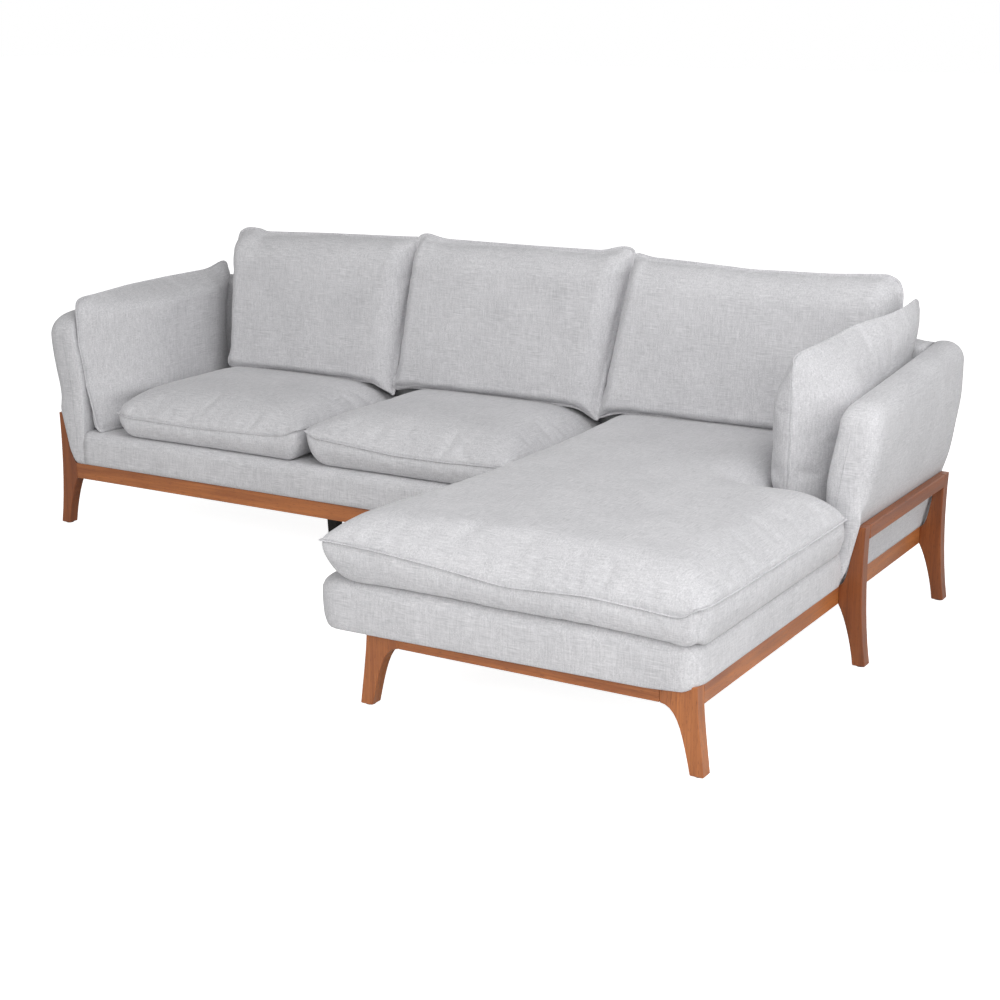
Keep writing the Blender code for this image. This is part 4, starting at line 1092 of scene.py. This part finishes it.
# %% Make the two seat cushions
seat_shift = 0.020  # the line between the seats lies this far left of the solids' line
left_x0, left_x1, seat_y0, seat_y1 = area_of("seat_cushion_left")
left_x1 -= seat_shift
seat_piece(
    "seat_cover_left", "seat_cushion_left", [(left_x0, left_x1, seat_y0, seat_y1)], seed=3,
    under=(0.090, 0.060, 0.036, 0.030),
    round_plan=[(left_x0, seat_y0, -1, -1, 0.075), (left_x1, seat_y0, 1, -1, 0.040)],
    front_seam=((-1.10, -1.02, -0.77, -0.50, -0.43, -0.385),
                (0.384, 0.377, 0.374, 0.383, 0.392, 0.410)), sag=sofa_sag)
middle_x0, middle_x1, seat_y0, seat_y1 = area_of("seat_cushion_middle")
middle_x0 -= seat_shift
seat_piece(
    "seat_cover_middle", "seat_cushion_middle", [(middle_x0, middle_x1, seat_y0, seat_y1)], seed=4,
    under=(0.080, 0.050, 0.036, 0.030),
    round_plan=[(middle_x0, seat_y0, -1, -1, 0.045), (middle_x1, seat_y0, 1, -1, 0.030)],
    front_seam=((-0.375, -0.33, -0.06, 0.10, 0.30), (0.412, 0.396, 0.376, 0.377, 0.386)),
    sag=sofa_sag)

# %% Make the chaise cushion
chaise_x0, chaise_x1, chaise_y0, chaise_y1 = area_of("chaise_cushion")
narrow_x = 1.045  # its right side beside the arm cushion
wing_y1 = sofa_front_y - 0.013
seat_piece(
    "chaise_cover", "chaise_cushion",
    [(chaise_x0, narrow_x, chaise_y0, chaise_y1), (chaise_x0, chaise_x1, chaise_y0, wing_y1)],
    seed=5, under=(0.100, 0.034, 0.036, 0.030),
    round_plan=[(chaise_x0, chaise_y0, -1, -1, 0.016), (chaise_x1, chaise_y0, 1, -1, 0.050),
                (chaise_x1, wing_y1, 1, 1, 0.034)],
    front_seam=((0.30, 0.46, 0.61, 0.80, 1.00, 1.14, 1.23, 1.28),
                (0.398, 0.392, 0.380, 0.360, 0.372, 0.366, 0.360, 0.386)),
    sag=chaise_sag, step=0.0145, roll=0.120, taper=0.028)

# %% [markdown]
# ## Back cushions
#
# The back cushions stand on the seats and lean on the back. Their front is full almost to the
# edges, so neighbours touch along a thin dark line. The seams between them lean to the right, the
# top line dips and rises, its corners stand up as soft ears, and the lower corners sink into the
# gaps between the seat cushions, with folds that fan out from them.

# %% Sizes of the back cushions
back_depth, back_hold = 0.080, 0.0775  # how far the panels stand in front of and behind the seam
seam_stand = 0.078  # how far the seam's plane stands in front of the back
left_roll, right_roll, foot_roll, crown_roll, rear_edge_roll = 0.048, 0.078, 0.030, 0.090, 0.10
foot_forward, foot_drop, foot_reach = 0.036, 0.005, 0.10
side_overlap = 0.008  # how far neighbours press into each other's room
sink_width, back_waist, back_swell = 0.045, 0.0015, 0.013
cushion_step = 0.0105


# %% Shape and fill a back cushion
def back_piece(name, node, leans, top_line, sinks, corners, seed, left_in=-side_overlap,
               step=cushion_step):
    """Both panels leave the seam's leaning plane along a quarter ellipse in u and in v.

    leans are how far the left and the right seam run to the right from foot to top, top_line
    gives heights along the top, sinks how far each lower corner drops, and corners the radii of
    the upper left, upper right, lower left and lower right corner.
    """
    low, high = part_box(node)
    left, right = low.x + left_in, high.x + side_overlap
    foot, height = low.z, high.z - low.z
    width = right - left
    u = even_stations(0.0, width, right_roll, step) / width
    v = even_stations(0.0, height, crown_roll, step) / height
    u, v = np.meshgrid(u, v, indexing="ij")
    edge_x = np.minimum(u, 1 - u) * width
    flat_x, flat_z = round_corners(u * width, v * height, [
        (0.0, height, -1, 1, corners[0]), (width, height, 1, 1, corners[1]),
        (0.0, 0.0, -1, -1, corners[2]), (width, 0.0, 1, -1, corners[3])])
    across, up = flat_x / width, flat_z / height
    waist = back_waist * 4 * up * (1 - up) * (1 - 2 * across)
    x = left + flat_x + waist + (leans[0] + (leans[1] - leans[0]) * across) * (up - 0.5)
    top = np.interp(across, *top_line)
    sink = (sinks[0] * np.exp(-(across * width / sink_width) ** 2)
            + sinks[1] * np.exp(-((1 - across) * width / sink_width) ** 2))
    z = foot + (top - foot) * up - (sink + foot_drop) * (1 - soft_step(up, 0.0, 0.30))
    full = (quarter(u * width, left_roll) * quarter((1 - u) * width, right_roll)
            * quarter(v * height, foot_roll) * quarter((1 - v) * height, crown_roll))
    back_full = (quarter(edge_x, rear_edge_roll)
                 * quarter(np.minimum(v, 1 - v) * height, rear_edge_roll))
    ahead = foot_forward * (1.0 - soft_step(v * height, 0.0, foot_reach))
    plane = back_face(z) - 0.0005 - seam_stand - ahead
    front = np.stack([x, plane - (back_depth - ahead) * full, z], -1)
    rear = np.stack([x, plane + (back_hold + ahead) * back_full, z], -1)
    piece, near, far, border = sewn_panels(name, (rear, front), cloth)
    held = np.zeros(len(piece.data.vertices), bool)
    held[near[border[:, 0], border[:, 1]]] = True
    flat = (back_full > 0.97) & (near >= 0)
    held[near[flat]] = True

    def keep_in(points):
        """In front of the back, and not far below the seats."""
        points = np.maximum(points, (left - 0.05, -9.0, foot - 0.04))
        points[:, 1] = np.minimum(points[:, 1], back_face(points[:, 2]) - clear)
        return points

    fill(piece, held, back_swell, keep_in)
    run, distance = seam_places(u * width, v * height, 0.0, width, 0.0, height)
    folds = []
    for corner_u, depth in ((0.0, sinks[0]), (1.0, sinks[1])):
        away_x, away_z = (u - corner_u) * width, v * height
        folds.append((np.hypot(away_x, away_z), np.arctan2(away_z, np.abs(away_x)),
                      0.0012 + 0.06 * depth))
    pucker(piece, far, run, distance, 0.0011, seed, folds)
    lip = sew_edge(piece, near, border, (0, 1, back_rake), name + "_lip", ears=0.0015,
                   groove=0.0015)
    finish_cushion(piece, node)
    return piece


# %% Make the back cushions
back_piece("back_cushion_cover_left", "back_cushion_left", leans=(0.020, 0.065),
           top_line=((0.0, 0.045, 0.10, 0.125, 0.155, 0.5, 0.8, 1.0),
                     (0.897, 0.905, 0.909, 0.904, 0.897, 0.906, 0.911, 0.915)),
           sinks=(0.004, 0.030), corners=(0.036, 0.012, 0.030, 0.006), seed=11, left_in=0.030)
back_piece("back_cushion_cover_middle", "back_cushion_middle", leans=(0.065, 0.085),
           top_line=((0.0, 0.05, 0.085, 0.13, 0.5, 0.86, 0.915, 0.955, 1.0),
                     (0.922, 0.929, 0.922, 0.915, 0.914, 0.915, 0.928, 0.932, 0.926)),
           sinks=(0.012, 0.030), corners=(0.020, 0.022, 0.024, 0.006), seed=12)
back_piece("back_cushion_cover_right", "back_cushion_right", leans=(0.085, 0.008),
           top_line=((0.0, 0.03, 0.07, 0.245, 0.45, 0.75, 0.93, 1.0),
                     (0.916, 0.914, 0.906, 0.901, 0.893, 0.897, 0.907, 0.903)),
           sinks=(0.022, 0.004), corners=(0.020, 0.052, 0.014, 0.030), seed=13)

# %% [markdown]
# ## Arm cushions
#
# The arm cushions stand on the deck against the arms, each turned a little out of line with its
# arm, so the seam leaves the arm in front on the right and at the rear on the left. One panel of
# each leaves the front seam square and full, and the other at a slant, as a cushion does that is
# pressed from one side; a power curve gives both. The right one is squeezed thin at its rear,
# between the arm and the end of the last back cushion, and swells again above the arm. The left
# one's rear corner stands up as an ear over the back.

# %% Sizes of the arm cushions
offset_plane = 0.010  # offsets are measured from a plane this far inside the rail's outer face
arm_clear = 0.004
tail_roll, even_roll, low_roll = 0.110, 0.080, 0.050
over_arm = (0.690, 0.800)  # heights between which a cushion swells out above the arm
arm_swell, squeeze_start = 0.010, 0.72


def lens(distance, rise):
    """Rise from 0 at an edge to 1 a radius further in as 1 - (1 - share)^power: for a power
    below 2 the cloth leaves the seam at a slant, and not square to it."""
    radius, power = rise
    return 1.0 - (1.0 - np.clip(distance / radius, 0.0, 1.0)) ** power


# %% Shape and fill an arm cushion
def arm_piece(name, node, side, length, height, seam, turn, reach, top_line, rises, corners, seed,
              over=0.0, ear_push=0.0, tail=None, step=cushion_step):
    """Offsets from the arm's face: the seam's line, and two panels that leave it by the curve
    lens in front and at the top, and by a quarter ellipse at the foot and at the rear.

    seam gives the seam's offset by height and turn how much it grows to the rear. reach is the
    inner panel's offset beside the seat and above it. rises are the radius and power of the
    outer and the inner panel, in front and at the top. corners are the radii in front at the
    top, at the rear top and in front at the foot. over is how far the outer panel swells out
    above the arm, ear_push how far the rear top corner stands back, and tail the offset, start
    and length of the squeezed part.
    """
    front_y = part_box(node)[0].y
    u = even_stations(0.0, length, even_roll, step) / length
    v = even_stations(0.0, height, even_roll, step) / height
    u, v = np.meshgrid(u, v, indexing="ij")
    flat_y, flat_z = round_corners(u * length, v * height, [
        (0.0, height, -1, 1, corners[0]), (length, height, 1, 1, corners[1]),
        (0.0, 0.0, -1, -1, corners[2])])
    ahead, up = flat_y / length, flat_z / height
    level = np.interp(ahead, *top_line)
    z = cushion_z + level * up
    y = front_y + flat_y + back_rake * level * up * ahead
    y = y + 0.005 * 4 * up * (1 - up) * (1 - 2 * ahead)
    y = y + ear_push * soft_step(ahead, 0.84, 1.0) * soft_step(up, 0.70, 0.92)
    face = arm_inner(z) - offset_plane + arm_clear - over * soft_step(z, *over_arm)
    line = np.interp(z, *seam) + turn * ahead
    above_seat = soft_step(z, seam_z + 0.012, seam_z + 0.062)
    inner = reach[0] + (reach[1] - reach[0]) * above_seat
    if tail:
        thin, start, span = tail
        thin = np.maximum(thin, face + 0.010)
        squeeze = soft_step(y, front_y + start, front_y + start + span)
        inner = inner + (thin - inner) * squeeze
        line = line + ((face + thin) / 2 - line) * squeeze
    inner = np.maximum(inner, line + 0.004)
    stand = quarter(v * height, low_roll) * quarter((1 - u) * length, tail_roll)
    outer_full, inner_full = (stand * lens(u * length, rise[0]) * lens((1 - v) * height, rise[1])
                              for rise in rises)

    def placed(offset):
        """Points at an offset from the arm's plane."""
        return np.stack([side * (side_x - offset_plane - offset), y, z], -1)

    panels = (placed(line - (line - face) * outer_full),
              placed(line + (inner - line) * inner_full))
    piece, near, far, border = sewn_panels(name, panels, cloth)
    held = np.zeros(len(piece.data.vertices), bool)
    held[near[border[:, 0], border[:, 1]]] = True
    held[near[(outer_full > 0.9) & (near >= 0)]] = True
    squeezed = (u > squeeze_start) & (far >= 0) & bool(tail)
    held[far[squeezed]] = True

    def keep_in(points):
        """Beside the arm, over the deck, and in front of the back up to its top."""
        points = np.maximum(points, (-9.0, front_y - 0.010, cushion_z))
        limit = side_x - arm_inner(points[:, 2]) - 0.003
        limit = limit + over * soft_step(points[:, 2], *over_arm)
        points[:, 0] = side * np.minimum(side * points[:, 0], limit)
        wall = back_face(points[:, 2]) - 0.0005 + 0.05 * soft_step(points[:, 2], 0.70, 0.76)
        points[:, 1] = np.minimum(points[:, 1], wall)
        return points

    fill(piece, held, arm_swell, keep_in)
    run, distance = seam_places(u * length, v * height, 0.0, length, 0.0, height)
    folds = [(np.hypot(u * length, v * height), np.arctan2(v * height, u * length), 0.0022)]
    pucker(piece, far, run, distance, 0.0011, seed, folds)
    pucker(piece, near, run + 0.3, distance, 0.0008, seed + 60)
    lip = sew_edge(piece, near, border, (1, 0, 0), name + "_lip", ears=0.002)
    finish_cushion(piece, node)
    return piece


# %% Make the arm cushions
arm_piece(
    "arm_cushion_cover_left", "arm_cushion_left", -1, length=0.585, height=0.440,
    seam=((0.305, 0.367, 0.489, 0.560, 0.720), (0.086, 0.066, 0.028, 0.018, 0.013)),
    turn=0.100, reach=(0.140, 0.180),
    top_line=((0.0, 0.06, 0.12, 0.34, 0.60, 0.88, 0.96, 1.0),
              (0.414, 0.418, 0.420, 0.435, 0.444, 0.450, 0.474, 0.476)),
    rises=(((0.034, 2.6), (0.080, 2.4)), ((0.280, 1.6), (0.060, 2.0))),
    corners=(0.034, 0.040, 0.016), seed=21, ear_push=0.026)
arm_piece(
    "arm_cushion_cover_right", "arm_cushion_right", 1, length=0.520, height=0.480,
    seam=((0.30, 0.80), (0.152, 0.148)), turn=-0.118, reach=(0.195, 0.208),
    top_line=((0.0, 0.06, 0.15, 0.25, 0.35, 0.50, 0.65, 0.75, 0.90, 0.97, 1.0),
              (0.452, 0.459, 0.465, 0.473, 0.481, 0.499, 0.511, 0.521, 0.539, 0.547, 0.545)),
    rises=(((0.150, 1.6), (0.150, 1.5)), ((0.034, 2.6), (0.160, 1.5))),
    corners=(0.024, 0.060, 0.016), seed=22, over=0.024, tail=(0.034, 0.220, 0.280))

# %% [markdown]
# ## Floor and light
#
# The sofa stands in an even, bright studio. The floor is a large pale sheet that keeps a soft
# shadow under the sofa, and it glows a little for the camera alone, so that it goes white without
# more light on the sofa. The world is white for the camera and a dim grey for everything else.
# Four large soft lamps give the shape: the main one near the camera, one in front on the left that
# reaches under the front edges, one on the right that lights the arm, and one above the chaise.

# %% Floor, world and lamps
floor_mesh = bpy.data.meshes.new("floor")
floor_mesh.from_pydata([(-40, -40, 0), (40, -40, 0), (40, 40, 0), (-40, 40, 0)], [], [(0, 1, 2, 3)])
floor = bpy.data.objects.new("floor", floor_mesh)
bpy.context.scene.collection.objects.link(floor)
floor_finish, tree, shader = new_finish("pale_floor")
shader.inputs["Base Color"].default_value = (0.80, 0.80, 0.80, 1.0)
shader.inputs["Roughness"].default_value = 0.9
shader.inputs["Specular IOR Level"].default_value = 0.1
path = add_node(tree, "ShaderNodeLightPath")
scaled = add_node(tree, "ShaderNodeMath", {0: path.outputs["Is Camera Ray"], 1: 0.90},
                  operation="MULTIPLY")
glow = add_node(tree, "ShaderNodeEmission", {"Color": (1.0, 1.0, 1.0, 1.0),
                                             "Strength": scaled.outputs[0]})
added = add_node(tree, "ShaderNodeAddShader", {0: shader.outputs[0], 1: glow.outputs[0]})
tree.links.new(added.outputs[0], tree.nodes["Material Output"].inputs["Surface"])
floor_mesh.materials.append(floor_finish)

world = bpy.data.worlds.new("studio")
bpy.context.scene.world = world
world.use_nodes = True
tree = world.node_tree
background = tree.nodes["Background"]
path = add_node(tree, "ShaderNodeLightPath")
shown = add_node(tree, "ShaderNodeMath", {0: path.outputs["Is Camera Ray"],
                                          1: path.outputs["Is Glossy Ray"]}, operation="MAXIMUM")
strength = add_node(tree, "ShaderNodeMapRange", {"Value": shown.outputs[0], "To Min": 0.31,
                                                 "To Max": 1.0})
tree.links.new(strength.outputs[0], background.inputs["Strength"])
background.inputs["Color"].default_value = (1.0, 1.0, 1.0, 1.0)


def lamp(name, place, target, size, power, colour):
    """A square area lamp that faces a target."""
    data = bpy.data.lights.new(name, "AREA")
    data.shape = "SQUARE"
    data.size = size
    data.energy = power
    data.color = colour
    made = bpy.data.objects.new(name, data)
    made.location = place
    made.rotation_euler = (Vector(target) - Vector(place)).to_track_quat("-Z", "Y").to_euler()
    bpy.context.scene.collection.objects.link(made)
    return made


lamp("main_lamp", (3.4, -4.2, 3.0), (0.3, 0.0, 0.35), 2.5, 85.0, (1.0, 0.995, 0.985))
lamp("left_lamp", (-2.0, -5.6, 2.2), (0.0, 0.0, 0.40), 2.8, 75.0, (1.0, 0.99, 0.98))
lamp("side_lamp", (4.6, -1.0, 2.0), (0.8, -0.2, 0.4), 2.6, 49.0, (1.0, 1.0, 1.0))
lamp("top_lamp", (2.4, -2.0, 3.8), (0.6, -0.2, 0.3), 2.6, 79.0, (0.99, 0.99, 1.0))
bpy.context.scene.view_settings.view_transform = "Standard"

# %% [markdown]
# ## The end
#
# The covers are softer and a little larger than the solids that they replace.

# %% Finish
bpy.context.view_layer.update()
